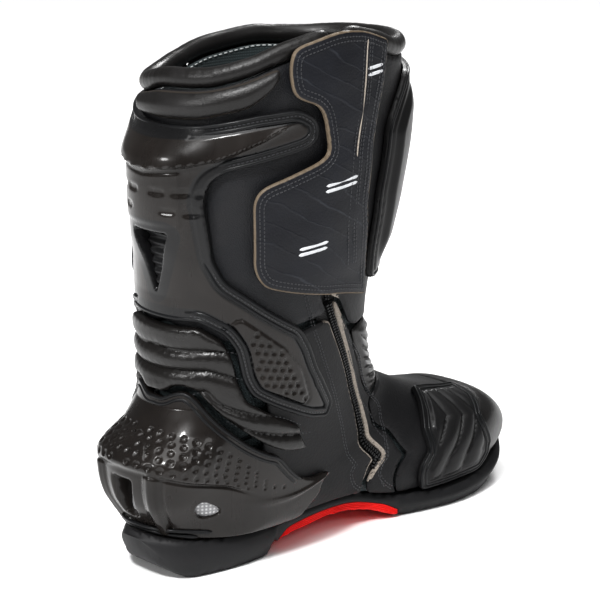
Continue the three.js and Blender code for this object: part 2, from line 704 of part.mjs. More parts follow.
add('calf_leather', panel([
  ...alongRim(zip(-18) + ZIP_GAP_HALF, CALF_LATERAL_EDGE, LEATHER_DROP), [CALF_LATERAL_EDGE, 142],
  [1.25, 142], [1, 128], [0.75, 142], ...alongZip(141, -10, ZIP_GAP_HALF),
], LEATHER), 'leather');
add('shin_leather', panel([
  ...alongRim(CALF_LATERAL_EDGE - 2 + SEAM, zip(-18) - ZIP_GAP_HALF, LEATHER_DROP),
  ...alongZip(-10, 132, -ZIP_GAP_HALF), [0.44, 135], [0.372, 158], [0.33, 163],
  [0.15, 166], [0, 167], [-0.31, 163], [-0.45, 152], [CALF_LATERAL_EDGE - 2 + SEAM, 142],
], LEATHER), 'leather');
add('shaft_lining', panel([
  ...alongRim(zip(-18) + LINING_SLIT_HALF, 2 + zip(-18) - LINING_SLIT_HALF, LEATHER_DROP),
  ...alongZip(-10, 149, -LINING_SLIT_HALF).map(([u, s]) => [u + 2, s]),
  [2, 149], [1.5, 149], [1, 149], ...alongZip(149, -10, LINING_SLIT_HALF),
], LINING, LINING_SAG), 'fabric');
add('zip_gusset', panel([
  ...alongZip(-14, 148, LINING_SLIT_HALF - SEAM), ...alongZip(148, -14, SEAM - LINING_SLIT_HALF),
], sunk(GUSSET)), 'fabric');
add('collar_roll', rimRoll(
  zip(-28) + ZIP_GAP_HALF, 2 + zip(-28) - ZIP_GAP_HALF, COLLAR_ROLL_RADIUS, 36, 8,
), 'smoothLeather');
add('calf_pad', panel([
  ...alongRim(0.68, 1.12, LEATHER_DROP + 0.5), [1.11, 7], [1, 7], [0.88, 6], [0.755, 1],
  [0.715, -4], [0.68, -11],
], [1, 6.8]), 'smoothLeather');

// back guard: one moulding with a spine, two upper arms and two ankle arms
const chinHeight = curveThrough([[10, 0], [30, CHIN_HEIGHT], [78, 7], [96, 2], [112, 0]]);
function guardFace(u, s) {
  const fromSpine = Math.abs(u - 1) / 0.22;
  const taper = fromSpine < 1 ? (1 + Math.cos(Math.PI * fromSpine)) / 2 : 0;
  return SHELL[1] + chinHeight(s)[0] * taper;
}
const ventWindow = [[0.945, 73], [1.055, 73], [1, 110]];
add('back_guard', panel(bothSidesOfHeel([
  [1, 10], [0.88, 9], [0.73, 5], [0.63, 5], [0.585, 13], [0.578, 24], [0.6, 30], [0.805, 37],
  [0.845, 42], [0.86, 53], [0.845, 70], [0.83, 88], [0.79, 102], [0.72, 113], [0.565, 141],
  [0.53, 156], [0.45, 208], [0.465, 220], [0.57, 200], [0.69, 179], [0.72, 167], [0.745, 146],
  [0.78, 135], [0.855, 126], [1, 126],
]), [SHELL[0], guardFace], PANEL_SAG, [ventWindow]), 'shell');
add('guard_vent_insert', panel(smaller(ventWindow, 0.8), INSERT), 'zip');

add('shin_plate', panel([
  [0.26, 8], [0.33, 20], [0.375, 34], [0.38, 76], [0.355, 108], [0.325, 132], [0, 140],
  [-0.325, 132], [-0.355, 108], [-0.38, 76], [-0.375, 34], [-0.33, 20], [-0.26, 8], [0, 2],
], SHELL), 'shell');
add('loop_patch', panel([[0.6, 58], [0.7, 58], [0.7, 100], [0.6, 100]], LOOP_TAPE), 'fabric');

// straight upper run of the zip
[['rear', 1], ['front', -1]].forEach(([name, side]) => {
  const between = (low, high) => [
    ...alongZip(ZIP_STRAIGHT_TOP + 8, ZIP_STRAIGHT_END, side * low),
    ...alongZip(ZIP_STRAIGHT_END, ZIP_STRAIGHT_TOP + 8, side * high),
  ];
  add(`zip_tape_${name}`, panel(between(ZIP_SPLIT, ZIP_TAPE_HALF), sunk(ZIP_TAPE)), 'fabric');
  add(`zip_teeth_${name}`, panel(between(ZIP_SPLIT, ZIP_TOOTH_HALF), sunk(ZIP_TEETH)), 'zip');
});

// slider and pull, parked at the top of the zip
const zipSide = new THREE.Vector3().crossVectors(zipDown, zipOut);
const zipFrame = new THREE.Matrix4().makeBasis(zipSide, zipDown, zipOut).setPosition(sliderTop);
const zipBox = (low, high) => orientedBox(new THREE.Vector3(...low), new THREE.Vector3(...high), zipFrame);

const SLIDER = { half: 3, wall: 0.5, back: -5, front: 6, skirt: -2.1, under: 0.3, over: 1.6 };
const sliderSection = [
  [-SLIDER.half, SLIDER.skirt], [SLIDER.wall - SLIDER.half, SLIDER.skirt],
  [SLIDER.wall - SLIDER.half, SLIDER.under], [SLIDER.half - SLIDER.wall, SLIDER.under],
  [SLIDER.half - SLIDER.wall, SLIDER.skirt], [SLIDER.half, SLIDER.skirt],
  [SLIDER.half, SLIDER.over], [-SLIDER.half, SLIDER.over],
];
const sliderEndAt = (down) => (side, out) => (
  new THREE.Vector3(side, down, out).applyMatrix4(zipFrame)
);
const sliderShell = slab(
  sliderSection, sliderEndAt(SLIDER.back), sliderEndAt(SLIDER.front), Infinity,
);
const sliderBail = zipBox([-1.2, -4, 1], [1.2, -2.6, 3.3]);
add('zip_slider', fromManifold(toManifold(sliderShell).add(toManifold(sliderBail))), 'steel');
add('zip_pull', zipBox([-2.6, -2.2, 2], [2.6, 22, 3.2]), 'steel');

// ---------- closure flap ----------

add('closure_flap', panel([
  [0.65, -27], [0.66, -21], [0.66, -12], [0.65, -3], [0.625, 1], [0.59, 5], [0.573, 12],
  [0.555, 34], [0.57, 39], [0.715, 48], [0.735, 55], [0.72, 96], [0.69, 107], [0.64, 112],
  [0.375, 136], [0.405, 110], [0.445, 74], [0.45, 40], [0.44, 20], [0.41, -20], [0.52, -33],
], FLAP), 'flapLeather');
add('hook_patch', panel([[0.6, 58], [0.7, 58], [0.7, 100], [0.6, 100]], HOOK_TAPE), 'fabric');

export default boot;
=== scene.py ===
"""Motorcycle riding boot: the visual model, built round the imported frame."""
import json
import math

import bpy
import numpy as np
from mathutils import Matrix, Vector, kdtree


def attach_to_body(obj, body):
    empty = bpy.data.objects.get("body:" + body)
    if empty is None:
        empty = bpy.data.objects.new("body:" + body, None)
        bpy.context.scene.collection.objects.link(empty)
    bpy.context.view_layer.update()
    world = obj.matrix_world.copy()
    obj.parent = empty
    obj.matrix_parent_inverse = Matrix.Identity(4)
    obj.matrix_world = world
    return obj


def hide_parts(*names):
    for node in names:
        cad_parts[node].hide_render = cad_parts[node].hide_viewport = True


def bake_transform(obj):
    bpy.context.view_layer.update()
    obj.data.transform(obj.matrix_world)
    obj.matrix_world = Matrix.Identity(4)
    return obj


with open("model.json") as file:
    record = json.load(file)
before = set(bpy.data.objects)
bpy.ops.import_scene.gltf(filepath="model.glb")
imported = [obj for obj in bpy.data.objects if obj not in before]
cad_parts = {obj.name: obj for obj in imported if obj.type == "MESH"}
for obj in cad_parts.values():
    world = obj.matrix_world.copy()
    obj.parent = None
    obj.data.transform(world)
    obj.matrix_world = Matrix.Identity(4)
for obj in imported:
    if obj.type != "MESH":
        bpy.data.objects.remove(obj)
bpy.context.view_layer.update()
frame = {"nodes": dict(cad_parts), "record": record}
NODES = frame["nodes"]

# ---------- camera, lights and floor ----------

# the heel tread's mount is at x = -80 mm where the boot's own lines are drawn
HEEL_MOUNT_X = -80.0
MOUNT = frame["record"]["mounts"][0]["pos_m"]
SHIFT = np.array([MOUNT[0] * 1000 - HEEL_MOUNT_X, MOUNT[1] * 1000, 0.0])
TARGET = Vector((SHIFT[0] / 1000, SHIFT[1] / 1000, 0.150))
CAMERA_AZIMUTH, CAMERA_ELEVATION, CAMERA_DISTANCE = -133.5, 14.8, 1.300


def aimed(name, data, place, target):
    """A new camera or light at place, looking at target."""
    obj = bpy.data.objects.new(name, data)
    bpy.context.scene.collection.objects.link(obj)
    obj.location = place
    obj.rotation_euler = (Vector(target) - Vector(place)).to_track_quat("-Z", "Y").to_euler()
    return obj


def round_target(azimuth, elevation, distance):
    az, el = math.radians(azimuth), math.radians(elevation)
    away = Vector((math.cos(az) * math.cos(el), math.sin(az) * math.cos(el), math.sin(el)))
    return TARGET + away * distance


SENSOR_WIDTH, FOCAL_LENGTH, FRAMING_SHIFT = 36.0, 131.4, (0.0117, -0.0317)
lens = bpy.data.cameras.new("photo_camera")
lens.sensor_width = SENSOR_WIDTH
lens.lens = FOCAL_LENGTH
lens.shift_x, lens.shift_y = FRAMING_SHIFT
lens.clip_start, lens.clip_end = 0.05, 20.0
bpy.context.scene.camera = aimed(
    "photo_camera", lens, round_target(CAMERA_AZIMUTH, CAMERA_ELEVATION, CAMERA_DISTANCE), TARGET)

# azimuth, elevation, distance, size, power in watts
LIGHTS = {
    "key": (-158, 50, 1.4, 0.26, 17),
    "fill": (-95, 34, 1.9, 0.6, 5),
    "rim": (30, 40, 1.6, 0.4, 12),
    "heel": (175, 24, 1.5, 0.26, 7),
}
for name, (azimuth, elevation, distance, size, power) in LIGHTS.items():
    light = bpy.data.lights.new(name, "AREA")
    light.shape = "DISK"
    light.size = size
    light.energy = power
    aimed(name, light, round_target(azimuth, elevation, distance), TARGET)

WORLD_STRENGTH, PICTURE_GAMMA = 0.18, 0.86
world = bpy.data.worlds.new("studio")
world.use_nodes = True
world.node_tree.nodes["Background"].inputs["Color"].default_value = (1.0, 1.0, 1.0, 1.0)
world.node_tree.nodes["Background"].inputs["Strength"].default_value = WORLD_STRENGTH
bpy.context.scene.world = world
SKY_POWER, SKY_ANGLE = 2.7, 50
sky = bpy.data.lights.new("overhead", "SUN")
sky.energy = SKY_POWER
sky.angle = math.radians(SKY_ANGLE)
aimed("overhead", sky, round_target(-150, 76, 2.0), TARGET)
bpy.context.scene.view_settings.view_transform = "Standard"
bpy.context.scene.view_settings.gamma = PICTURE_GAMMA

FLOOR_HALF = 6.0
floor_mesh = bpy.data.meshes.new("floor")
floor_mesh.from_pydata(
    [(-FLOOR_HALF, -FLOOR_HALF, 0), (FLOOR_HALF, -FLOOR_HALF, 0),
     (FLOOR_HALF, FLOOR_HALF, 0), (-FLOOR_HALF, FLOOR_HALF, 0)], [], [(0, 1, 2, 3)])
floor = bpy.data.objects.new("floor", floor_mesh)
bpy.context.scene.collection.objects.link(floor)

# ---------- materials ----------


class Paint:
    """A Principled material under construction, with its node tree at hand."""

    def __init__(self, name, color, roughness, **sockets):
        self.material = bpy.data.materials.new(name)
        self.material.use_nodes = True
        self.tree = self.material.node_tree
        self.shader = self.tree.nodes["Principled BSDF"]
        self.shader.inputs["Base Color"].default_value = (*color, 1.0)
        self.shader.inputs["Roughness"].default_value = roughness
        for socket, value in sockets.items():
            self.shader.inputs[socket.replace("_", " ")].default_value = value
        self.color = (*color, 1.0)
        self.coords = self.node("ShaderNodeTexCoord").outputs["Object"]

    def node(self, kind, **values):
        made = self.tree.nodes.new(kind)
        for key, value in values.items():
            setattr(made, key, value)
        return made

    def link(self, source, target):
        self.tree.links.new(source, target)

    def math(self, operation, a, b=None, clamp=False):
        made = self.node("ShaderNodeMath", operation=operation, use_clamp=clamp)
        for k, value in enumerate((a, b)):
            if value is None:
                continue
            if isinstance(value, (int, float)):
                made.inputs[k].default_value = value
            else:
                self.link(value, made.inputs[k])
        return made.outputs[0]

    def noise(self, scale, detail=3.0, roughness=0.55, stretch=None):
        made = self.node("ShaderNodeTexNoise")
        made.inputs["Scale"].default_value = scale
        made.inputs["Detail"].default_value = detail
        made.inputs["Roughness"].default_value = roughness
        self.link(self.stretched(stretch), made.inputs["Vector"])
        return made.outputs["Fac"]

    def stretched(self, stretch):
        if stretch is None:
            return self.coords
        mapping = self.node("ShaderNodeMapping")
        mapping.inputs["Scale"].default_value = stretch[:3]
        if len(stretch) > 3:
            mapping.inputs["Rotation"].default_value = stretch[3:]
        self.link(self.coords, mapping.inputs["Vector"])
        return mapping.outputs["Vector"]

    def cells(self, scale):
        made = self.node("ShaderNodeTexVoronoi")
        made.inputs["Scale"].default_value = scale
        self.link(self.coords, made.inputs["Vector"])
        return made.outputs["Distance"]

    def ramp(self, value, low, high, to_low=0.0, to_high=1.0):
        made = self.node("ShaderNodeMapRange")
        for key, number in zip(("From Min", "From Max", "To Min", "To Max"), (low, high, to_low, to_high)):
            made.inputs[key].default_value = number
        self.link(value, made.inputs["Value"])
        return made.outputs["Result"]

    def attribute(self, name):
        return self.node("ShaderNodeAttribute", attribute_name=name).outputs["Fac"]

    def tint(self, factor, color):
        """Mixes another colour over what the surface has so far."""
        made = self.node("ShaderNodeMix", data_type="RGBA")
        socket = self.shader.inputs["Base Color"]
        if socket.is_linked:
            self.link(socket.links[0].from_socket, made.inputs["A"])
        else:
            made.inputs["A"].default_value = self.color
        made.inputs["B"].default_value = (*color, 1.0)
        self.link(factor, made.inputs["Factor"])
        self.link(made.outputs["Result"], socket)
        return self

    def rough(self, factor, low, high):
        self.link(self.ramp(factor, 0.0, 1.0, low, high), self.shader.inputs["Roughness"])
        return self

    def bump(self, height, strength, depth):
        """Adds a bump of that depth in metres over any bump there is."""
        made = self.node("ShaderNodeBump")
        made.inputs["Strength"].default_value = strength
        made.inputs["Distance"].default_value = depth
        self.link(height, made.inputs["Height"])
        socket = self.shader.inputs["Normal"]
        if socket.is_linked:
            self.link(socket.links[0].from_socket, made.inputs["Normal"])
        self.link(made.outputs["Normal"], socket)
        return self


TAN = (0.34, 0.30, 0.26)
DARK_TAN = (0.045, 0.038, 0.032)


def leather(name, color, roughness, grain=0.35, cell=700, edge=None, worn=(0.022, 0.021, 0.0215), **sockets):
    """Pebbled leather with fine pores, patchy wear and, if named, a raw cut edge."""
    paint = Paint(name, color, roughness, **sockets)
    patches = paint.noise(38, 4)
    paint.tint(paint.ramp(patches, 0.45, 0.75, 0.0, 0.42), worn)
    paint.rough(patches, roughness - 0.07, roughness + 0.14)
    paint.bump(paint.noise(60, 3), 0.22, 0.0012)
    paint.bump(paint.cells(cell), grain, 0.00035)
    paint.bump(paint.noise(2600, 2), grain * 0.5, 0.00012)
    if edge:
        raw = paint.ramp(paint.attribute("raw"), -0.12, 0.12)
        fibres = paint.noise(900, 2)
        paint.tint(paint.math("MULTIPLY", raw, paint.ramp(fibres, 0.3, 0.7, 0.55, 1.0)), edge)
    return paint.material


MATERIALS = {}
MATERIALS["leather_matte"] = leather(
    "boot_leather_matte", (0.0095, 0.0095, 0.0105), 0.50, edge=TAN, Specular_IOR_Level=0.22)
MATERIALS["leather_smooth"] = leather(
    "boot_leather_smooth", (0.0085, 0.0078, 0.0075), 0.34, grain=0.22, cell=950, edge=DARK_TAN,
    Specular_IOR_Level=0.34)
MATERIALS["leather_padded"] = leather(
    "boot_leather_padded", (0.0072, 0.0064, 0.0060), 0.27, grain=0.18, cell=950, edge=DARK_TAN,
    worn=(0.0125, 0.0105, 0.0097), Specular_IOR_Level=0.42)
MATERIALS["leather_grained"] = leather(
    "boot_leather_grained", (0.0095, 0.0100, 0.0120), 0.46, grain=0.6, cell=1500, Specular_IOR_Level=0.27)


def flap_leather():
    paint = Paint("boot_leather_flap", (0.0085, 0.0090, 0.0120), 0.42, Specular_IOR_Level=0.24)
    creases = paint.node("ShaderNodeTexWave", wave_type="BANDS", bands_direction="DIAGONAL")
    creases.inputs["Scale"].default_value = 30
    creases.inputs["Distortion"].default_value = 3.5
    creases.inputs["Detail"].default_value = 3
    creases.inputs["Detail Scale"].default_value = 0.9
    paint.link(paint.stretched((1.0, 0.4, 1.7)), creases.inputs["Vector"])
    line = paint.ramp(creases.outputs["Fac"], 0.955, 1.0)
    patches = paint.noise(30, 4)
    paint.tint(paint.ramp(patches, 0.42, 0.75, 0.0, 0.5), (0.015, 0.017, 0.024))
    broken = paint.ramp(paint.noise(45, 3), 0.42, 0.66)
    paint.tint(paint.math("MULTIPLY", paint.math("MULTIPLY", line, broken), 0.35), (0.055, 0.060, 0.072))
    paint.rough(patches, 0.34, 0.55)
    paint.bump(line, 0.25, 0.0006)
    paint.bump(paint.noise(70, 3), 0.25, 0.0012)
    paint.bump(paint.cells(800), 0.3, 0.0003)
    raw = paint.ramp(paint.attribute("raw"), -0.15, 0.15)
    paint.tint(raw, (0.125, 0.098, 0.070))
    return paint.material


MATERIALS["leather_flap"] = flap_leather()


def moulded(name, color, roughness, coat, reflection_tint=(0.022, 0.0185, 0.0165), border=None):
    """Moulded polyurethane: a painted reflection of lighter smoky clouds in the colour, fine flow streaks and
    a soft clear coat.
    """
    paint = Paint(name, color, roughness, Coat_Weight=coat, Coat_Roughness=0.07, Coat_IOR=1.34, IOR=1.5,
                  Specular_IOR_Level=0.18)
    # painted reflection: lighter smoky-grey clouds in the base colour stand in for the pale surroundings
    # mirrored in the gloss
    reflection_clouds = paint.noise(22, 3)
    paint.tint(paint.ramp(reflection_clouds, 0.38, 0.72, 0.0, 0.75), reflection_tint)
    flow = paint.noise(120, 2, stretch=(1.0, 1.0, 0.12))
    paint.rough(flow, roughness - 0.06, roughness + 0.14)
    paint.bump(paint.noise(90, 2), 0.10, 0.0010)
    paint.bump(paint.noise(3000, 2), 0.06, 0.00006)
    if border:
        inside = paint.ramp(paint.attribute("border"), -0.2, 0.2)
        paint.tint(inside, border)
    return paint.material


# each shell's lighter painted-reflection colour is the last colour given, or the default for the gloss shell
MATERIALS["shell_gloss"] = moulded("boot_shell_gloss", (0.0090, 0.0074, 0.0066), 0.25, 0.55,
                                   border=(0.0065, 0.0065, 0.007))
MATERIALS["shell_satin"] = moulded("boot_shell_satin", (0.0085, 0.0085, 0.009), 0.36, 0.12,
                                   reflection_tint=(0.0145, 0.014, 0.0142))
MATERIALS["bead"] = moulded("boot_bead", (0.0075, 0.0078, 0.0085), 0.33, 0.15, reflection_tint=(0.0115, 0.012, 0.013))


def rubber(name, color, light, roughness):
    paint = Paint(name, color, roughness, IOR=1.45, Specular_IOR_Level=0.35)
    dust = paint.noise(55, 4)
    paint.tint(paint.ramp(dust, 0.4, 0.75, 0.0, 0.5), light)
    paint.rough(dust, roughness - 0.08, roughness + 0.1)
    paint.bump(paint.noise(1500, 3), 0.25, 0.00016)
    paint.bump(paint.noise(75, 2), 0.12, 0.0008)
    return paint.material


MATERIALS["rubber_black"] = rubber(
    "boot_rubber_black", (0.0105, 0.0105, 0.0115), (0.0175, 0.017, 0.018), 0.55)
MATERIALS["rubber_red"] = rubber("boot_rubber_red", (0.80, 0.012, 0.010), (0.88, 0.035, 0.028), 0.40)


def knit(name, color, light, scale, roughness=0.9):
    """A knitted or woven cloth: two crossing rows of loops and a soft fuzz."""
    paint = Paint(name, color, roughness, Sheen_Weight=0.25, Sheen_Roughness=0.4)
    rows = paint.node("ShaderNodeTexWave", wave_type="BANDS", bands_direction="Z")
    rows.inputs["Scale"].default_value = scale
    columns = paint.node("ShaderNodeTexWave", wave_type="BANDS", bands_direction="X")
    columns.inputs["Scale"].default_value = scale
    for wave in (rows, columns):
        paint.link(paint.coords, wave.inputs["Vector"])
        wave.inputs["Distortion"].default_value = 0.8
    loops = paint.math("MULTIPLY", rows.outputs["Fac"], columns.outputs["Fac"])
    paint.tint(loops, light)
    paint.tint(paint.ramp(paint.noise(70, 3), 0.45, 0.8, 0.0, 0.35), color)
    paint.bump(loops, 0.6, 0.0004)
    return paint.material


MATERIALS["lining_fabric"] = knit("boot_lining", (0.020, 0.030, 0.032), (0.045, 0.062, 0.066), 190)
MATERIALS["zip_tape"] = knit("boot_zip_tape", (0.006, 0.006, 0.0065), (0.014, 0.014, 0.015), 300)
MATERIALS["foam"] = knit("boot_footbed", (0.03, 0.03, 0.034), (0.06, 0.06, 0.066), 160)
MATERIALS["board"] = knit("boot_board", (0.26, 0.20, 0.14), (0.34, 0.28, 0.2), 90)
MATERIALS["mesh_silver"] = knit("boot_mesh_silver", (0.30, 0.30, 0.31), (0.82, 0.82, 0.83), 150, 0.5)
MATERIALS["zip_black"] = rubber("boot_zip_black", (0.007, 0.007, 0.0075), (0.012, 0.012, 0.013), 0.36)


def steel():
    paint = Paint("boot_steel", (0.42, 0.43, 0.44), 0.3, Metallic=1.0)
    brushed = paint.noise(700, 3, stretch=(1.0, 1.0, 0.08))
    paint.rough(brushed, 0.22, 0.42)
    paint.bump(brushed, 0.1, 0.00008)
    return paint.material


MATERIALS["steel"] = steel()


def thread(name, color):
    paint = Paint(name, color, 0.55, Sheen_Weight=0.2)
    twist = paint.noise(2400, 1, stretch=(1.0, 1.0, 2.0))
    paint.rough(twist, 0.42, 0.68)
    paint.bump(twist, 0.5, 0.0001)
    return paint.material


MATERIALS["thread"] = thread("boot_thread", (0.021, 0.022, 0.026))
MATERIALS["thread_light"] = thread("boot_thread_light", (0.42, 0.44, 0.44))


def raw_edge():
    paint = Paint("boot_raw_edge", TAN, 0.85)
    paint.tint(paint.ramp(paint.noise(700, 3), 0.4, 0.7), (0.42, 0.37, 0.31))
    paint.tint(paint.ramp(paint.noise(260, 2), 0.55, 0.75, 0.0, 0.7), (0.12, 0.10, 0.085))
    paint.bump(paint.noise(1800, 3), 0.5, 0.0003)
    return paint.material


MATERIALS["raw_edge"] = raw_edge()


def printed():
    paint = Paint("boot_plain_mark", (0.62, 0.63, 0.65), 0.5)
    paint.tint(paint.ramp(paint.noise(240, 3), 0.5, 0.8, 0.0, 0.4), (0.35, 0.36, 0.38))
    paint.bump(paint.noise(900, 2), 0.15, 0.0001)
    return paint.material


MATERIALS["mark"] = printed()
floor_paint = Paint("studio_floor", (0.97, 0.97, 0.97), 0.9)
floor_paint.tint(floor_paint.noise(0.8, 2), (0.98, 0.98, 0.98))
floor_mesh.materials.append(floor_paint.material)

# ---------- the boot's surface, as in the CAD: millimetres, u round the boot and s along it ----------

LEATHER, LINING, GUSSET = (-2.0, 0.0), (-9.0, -5.6), (-7.4, -5.4)
ZIP_TAPE, ZIP_TEETH = (-4.1, -2.8), (-2.4, -0.4)
SHELL, INSERT, FLAP = (1.0, 4.6), (1.0, 3.7), (4.6, 7.4)
HOOK_TAPE, LOOP_TAPE = (2.8, 3.9), (1.0, 2.1)
SOLE_GAP = 1.2
LEATHER_DROP = 11
ZIP_GAP, ZIP_TAPE_HALF, ZIP_SPLIT, LINING_SLIT = 0.014, 0.036, 0.0015, 0.05
SEAM = 0.0035
MM_PER_U = 230.0

# station, front x, front z, back x, back z, medial, lateral, middle y, front power, back power
STATIONS = [
    (-50, 64, 334, -88, 322, 60, 58, 0, 2.3, 2.2), (-20, 63, 305, -94, 290, 61, 59, 0, 2.3, 2.2),
    (0, 63, 286, -96, 268, 62, 60, 0, 2.3, 2.2), (40, 61, 250, -99, 230, 62, 60, 0, 2.3, 2.2),
    (80, 54, 212, -100, 192, 60, 58, 0, 2.3, 2.2), (120, 45, 174, -101, 154, 55, 54, 0, 2.3, 2.2),
    (160, 40, 138, -102, 118, 51, 49, 0, 2.3, 2.1), (200, 44, 108, -108, 82, 48, 45, 0, 2.3, 2.1),
    (240, 56, 88, -119, 44, 44, 41, 0, 2.3, 2.3), (280, 72, 79, -106, 10, 42, 42, 0, 2.3, 2.8),
    (320, 93, 70, -30, 12, 42, 47, 0, 2.3, 3.2), (360, 114, 64, 45, 7, 47, 53, 0, 2.5, 3.4),
    (400, 136, 60, 100, 6, 44, 49, -2, 2.6, 3.4), (430, 153, 51, 137, 11, 31, 37, -6, 2.5, 3.0),
    (450, 163, 40, 158, 18, 15, 19, -9, 2.3, 2.4), (457, 165, 34, 163, 26, 4, 4, -9, 2.2, 2.2),
]
RIM = [(0, -11), (0.3, -15), (0.42, -25), (0.54, -33), (0.66, -30), (0.76, -24), (0.88, -20),
       (1, -19), (1.1, -15), (1.2, -11), (1.3, -10), (1.4, -12), (1.5, -15), (1.6, -15), (1.7, -12),
       (1.8, -10), (2, -11)]
ZIP = [(-40, 0.5362), (-4, 0.527), (20, 0.5229), (52, 0.5165), (84, 0.5057), (112, 0.4958), (126, 0.4905),
       (141, 0.465), (161, 0.425), (182, 0.385), (206, 0.353), (235, 0.335), (267, 0.358),
       (298, 0.427), (316, 0.485), (334, 0.555)]
SLIDER_STATION, SLIDER_END_STATION = -4.0, 112.0
SOLE_PLAN = [
    (-129, -1), (-123, -19), (-108, -31), (-70, -37), (-30, -33), (10, -34), (50, -44), (88, -51),
    (118, -48), (145, -37), (163, -20), (171, -6), (166, 12), (149, 33), (118, 50), (72, 57),
    (30, 50), (-20, 40), (-70, 36), (-103, 28), (-121, 14)]
SOLE_TOP = [(-129, 27.5), (-118, 24.5), (-110, 23), (-80, 20), (-50, 19), (-20, 21), (10, 22), (50, 14),
            (85, 12), (120, 14), (145, 18), (171, 31)]
SOLE_BOTTOM = [(-129, 20), (-121, 8), (-104, 0), (-56, 0), (-44, 7), (-20, 9), (5, 11), (25, 9),
               (50, 1), (62, 0), (110, 0), (145, 7), (171, 20)]
HEEL_FLARE = [(184, 0), (192, 3), (200, 7), (210, 14), (220, 18.5), (230, 15), (240, 10), (248, 5),
              (254, 1.5), (258, 0)]
HEEL_FLARE_HALF, HEEL_FLARE_FADE = 0.10, 0.22
ARCH_START, ARCH_END = -46.0, 48.0
ARCH_TOP = [(-46, 7), (-34, 13), (10, 16), (36, 11), (48, 5)]


def curve(rows):
    """Monotone cubic through (x, y1, y2, ...) rows."""
    rows = np.array(rows, float)
    x, y = rows[:, 0], rows[:, 1:]
    step = np.diff(x)[:, None]
    secant = np.diff(y, axis=0) / step
    slope = np.empty_like(y)
    slope[0], slope[-1] = secant[0], secant[-1]
    before, after = step[:-1], step[1:]
    w1, w2 = 2 * after + before, after + 2 * before
    a, b = secant[:-1], secant[1:]
    with np.errstate(divide="ignore", invalid="ignore"):
        slope[1:-1] = np.where(a * b <= 0, 0.0, (w1 + w2) / (w1 / a + w2 / b))

    def at(value):
        value = np.clip(np.asarray(value, float), x[0], x[-1])
        i = np.clip(np.searchsorted(x, value, side="right") - 1, 0, len(x) - 2)
        h = (x[i + 1] - x[i])[..., None]
        t = (value - x[i])[..., None] / h
        return ((1 + 2 * t) * (1 - t) ** 2 * y[i] + t * (1 - t) ** 2 * h * slope[i]
                + t * t * (3 - 2 * t) * y[i + 1] + t * t * (t - 1) * h * slope[i + 1])

    return at


station = curve(STATIONS)
rim_curve, zip_curve = curve(RIM), curve(ZIP)
sole_top_curve, sole_bottom_curve, arch_curve = curve(SOLE_TOP), curve(SOLE_BOTTOM), curve(ARCH_TOP)


def rim(u):
    return rim_curve(np.mod(u, 2.0))[..., 0]


def zip_line(s):
    return zip_curve(s)[..., 0]


def sole_top(x):
    return sole_top_curve(x)[..., 0]


def sole_bottom(x):
    return sole_bottom_curve(x)[..., 0]


def surface(u, s):
    front_x, front_z, back_x, back_z, medial, lateral, middle, front_power, back_power = np.moveaxis(
        station(s), -1, 0)
    cosine, sine = np.cos(np.pi * u), np.sin(np.pi * u)
    exponent = 2 / np.where(cosine > 0, front_power, back_power)
    along = np.sign(cosine) * np.abs(cosine) ** exponent
    across = np.sign(sine) * np.abs(sine) ** exponent
    return np.stack([
        (front_x + back_x) / 2 + along * (front_x - back_x) / 2,
        middle - across * np.where(across > 0, medial, lateral),
        (front_z + back_z) / 2 + along * (front_z - back_z) / 2], -1)


def unit(vectors):
    return vectors / np.maximum(np.linalg.norm(vectors, axis=-1, keepdims=True), 1e-12)


def outward(u, s):
    along_u = surface(u + 0.004, s) - surface(u - 0.004, s)
    along_s = surface(u, s + 1) - surface(u, s - 1)
    return unit(np.cross(along_u, along_s))


def on_surface(u, s):
    return surface(np.asarray(u, float), np.asarray(s, float))


SLIDER_TOP = on_surface(zip_line(SLIDER_STATION), SLIDER_STATION)
SLIDER_END = on_surface(zip_line(SLIDER_END_STATION), SLIDER_END_STATION)
ZIP_DOWN = unit(SLIDER_END - SLIDER_TOP)
ZIP_NORMAL = outward(np.asarray(zip_line(50.0)), np.asarray(50.0))
ZIP_OUT = unit(ZIP_NORMAL - ZIP_DOWN * np.dot(ZIP_NORMAL, ZIP_DOWN))


def zip_bulge(s):
    """How far the boot's side stands out past the slider's straight line."""
    s = np.asarray(s, float)
    return np.maximum((on_surface(zip_line(s), s) - SLIDER_TOP) @ ZIP_OUT, 0.0)


def place(u, s, distance):
    """Points in millimetres of the row frame, at a distance from the surface."""
    u, s = np.broadcast_arrays(np.asarray(u, float), np.asarray(s, float))
    distance = np.asarray(distance, float)
    return surface(u, s) + outward(u, s) * distance[..., None] + SHIFT


# ---------- outlines ----------

def stations_between(low, high, step):
    return np.linspace(low, high, max(1, round(abs(high - low) / step)) + 1)


def along_rim(low, high, drop):
    return [(u, float(rim(u)) + drop) for u in stations_between(low, high, 0.04)]


def along_zip(low, high, shift):
    return [(float(zip_line(s)) + shift, s) for s in stations_between(low, high, 9)]


BISECT_STEPS = 30


def bisect(low, high, keep_low):
    for _ in range(BISECT_STEPS):
        middle = (low + high) / 2
        if keep_low(middle):
            low = middle
        else:
            high = middle
    return low


def above_sole(u, s, distance):
    point = place(u, s, distance) - SHIFT
    return point[..., 2] - float(sole_top(point[..., 0])) - SOLE_GAP


def sole_line(s, side, layer):
    """Where a layer meets the top of the sole at one station, as u."""
    found = []
    for distance in layer:
        if above_sole(side * 0.999, s, distance) > 0:
            found.append(1.0)
        else:
            found.append(bisect(0.05, 0.999, lambda u: above_sole(side * u, s, distance) > 0))
    return side * min(found)


def heel_station(layer):
    return min(bisect(215.0, 275.0, lambda s: above_sole(1.0, s, distance) > 0) for distance in layer)


def along_sole(low, high, side, layer, step=6):
    return [(sole_line(s, side, layer), s) for s in stations_between(low, high, step)]


def round_heel(start, side, layer):
    heel = heel_station(layer)
    parts = (1, 0.8, 0.6, 0.45, 0.34, 0.25, 0.18, 0.12, 0.08, 0.05, 0.03, 0.012)
    return [(sole_line(heel + (start - heel) * part, side, layer), heel + (start - heel) * part)
            for part in parts]


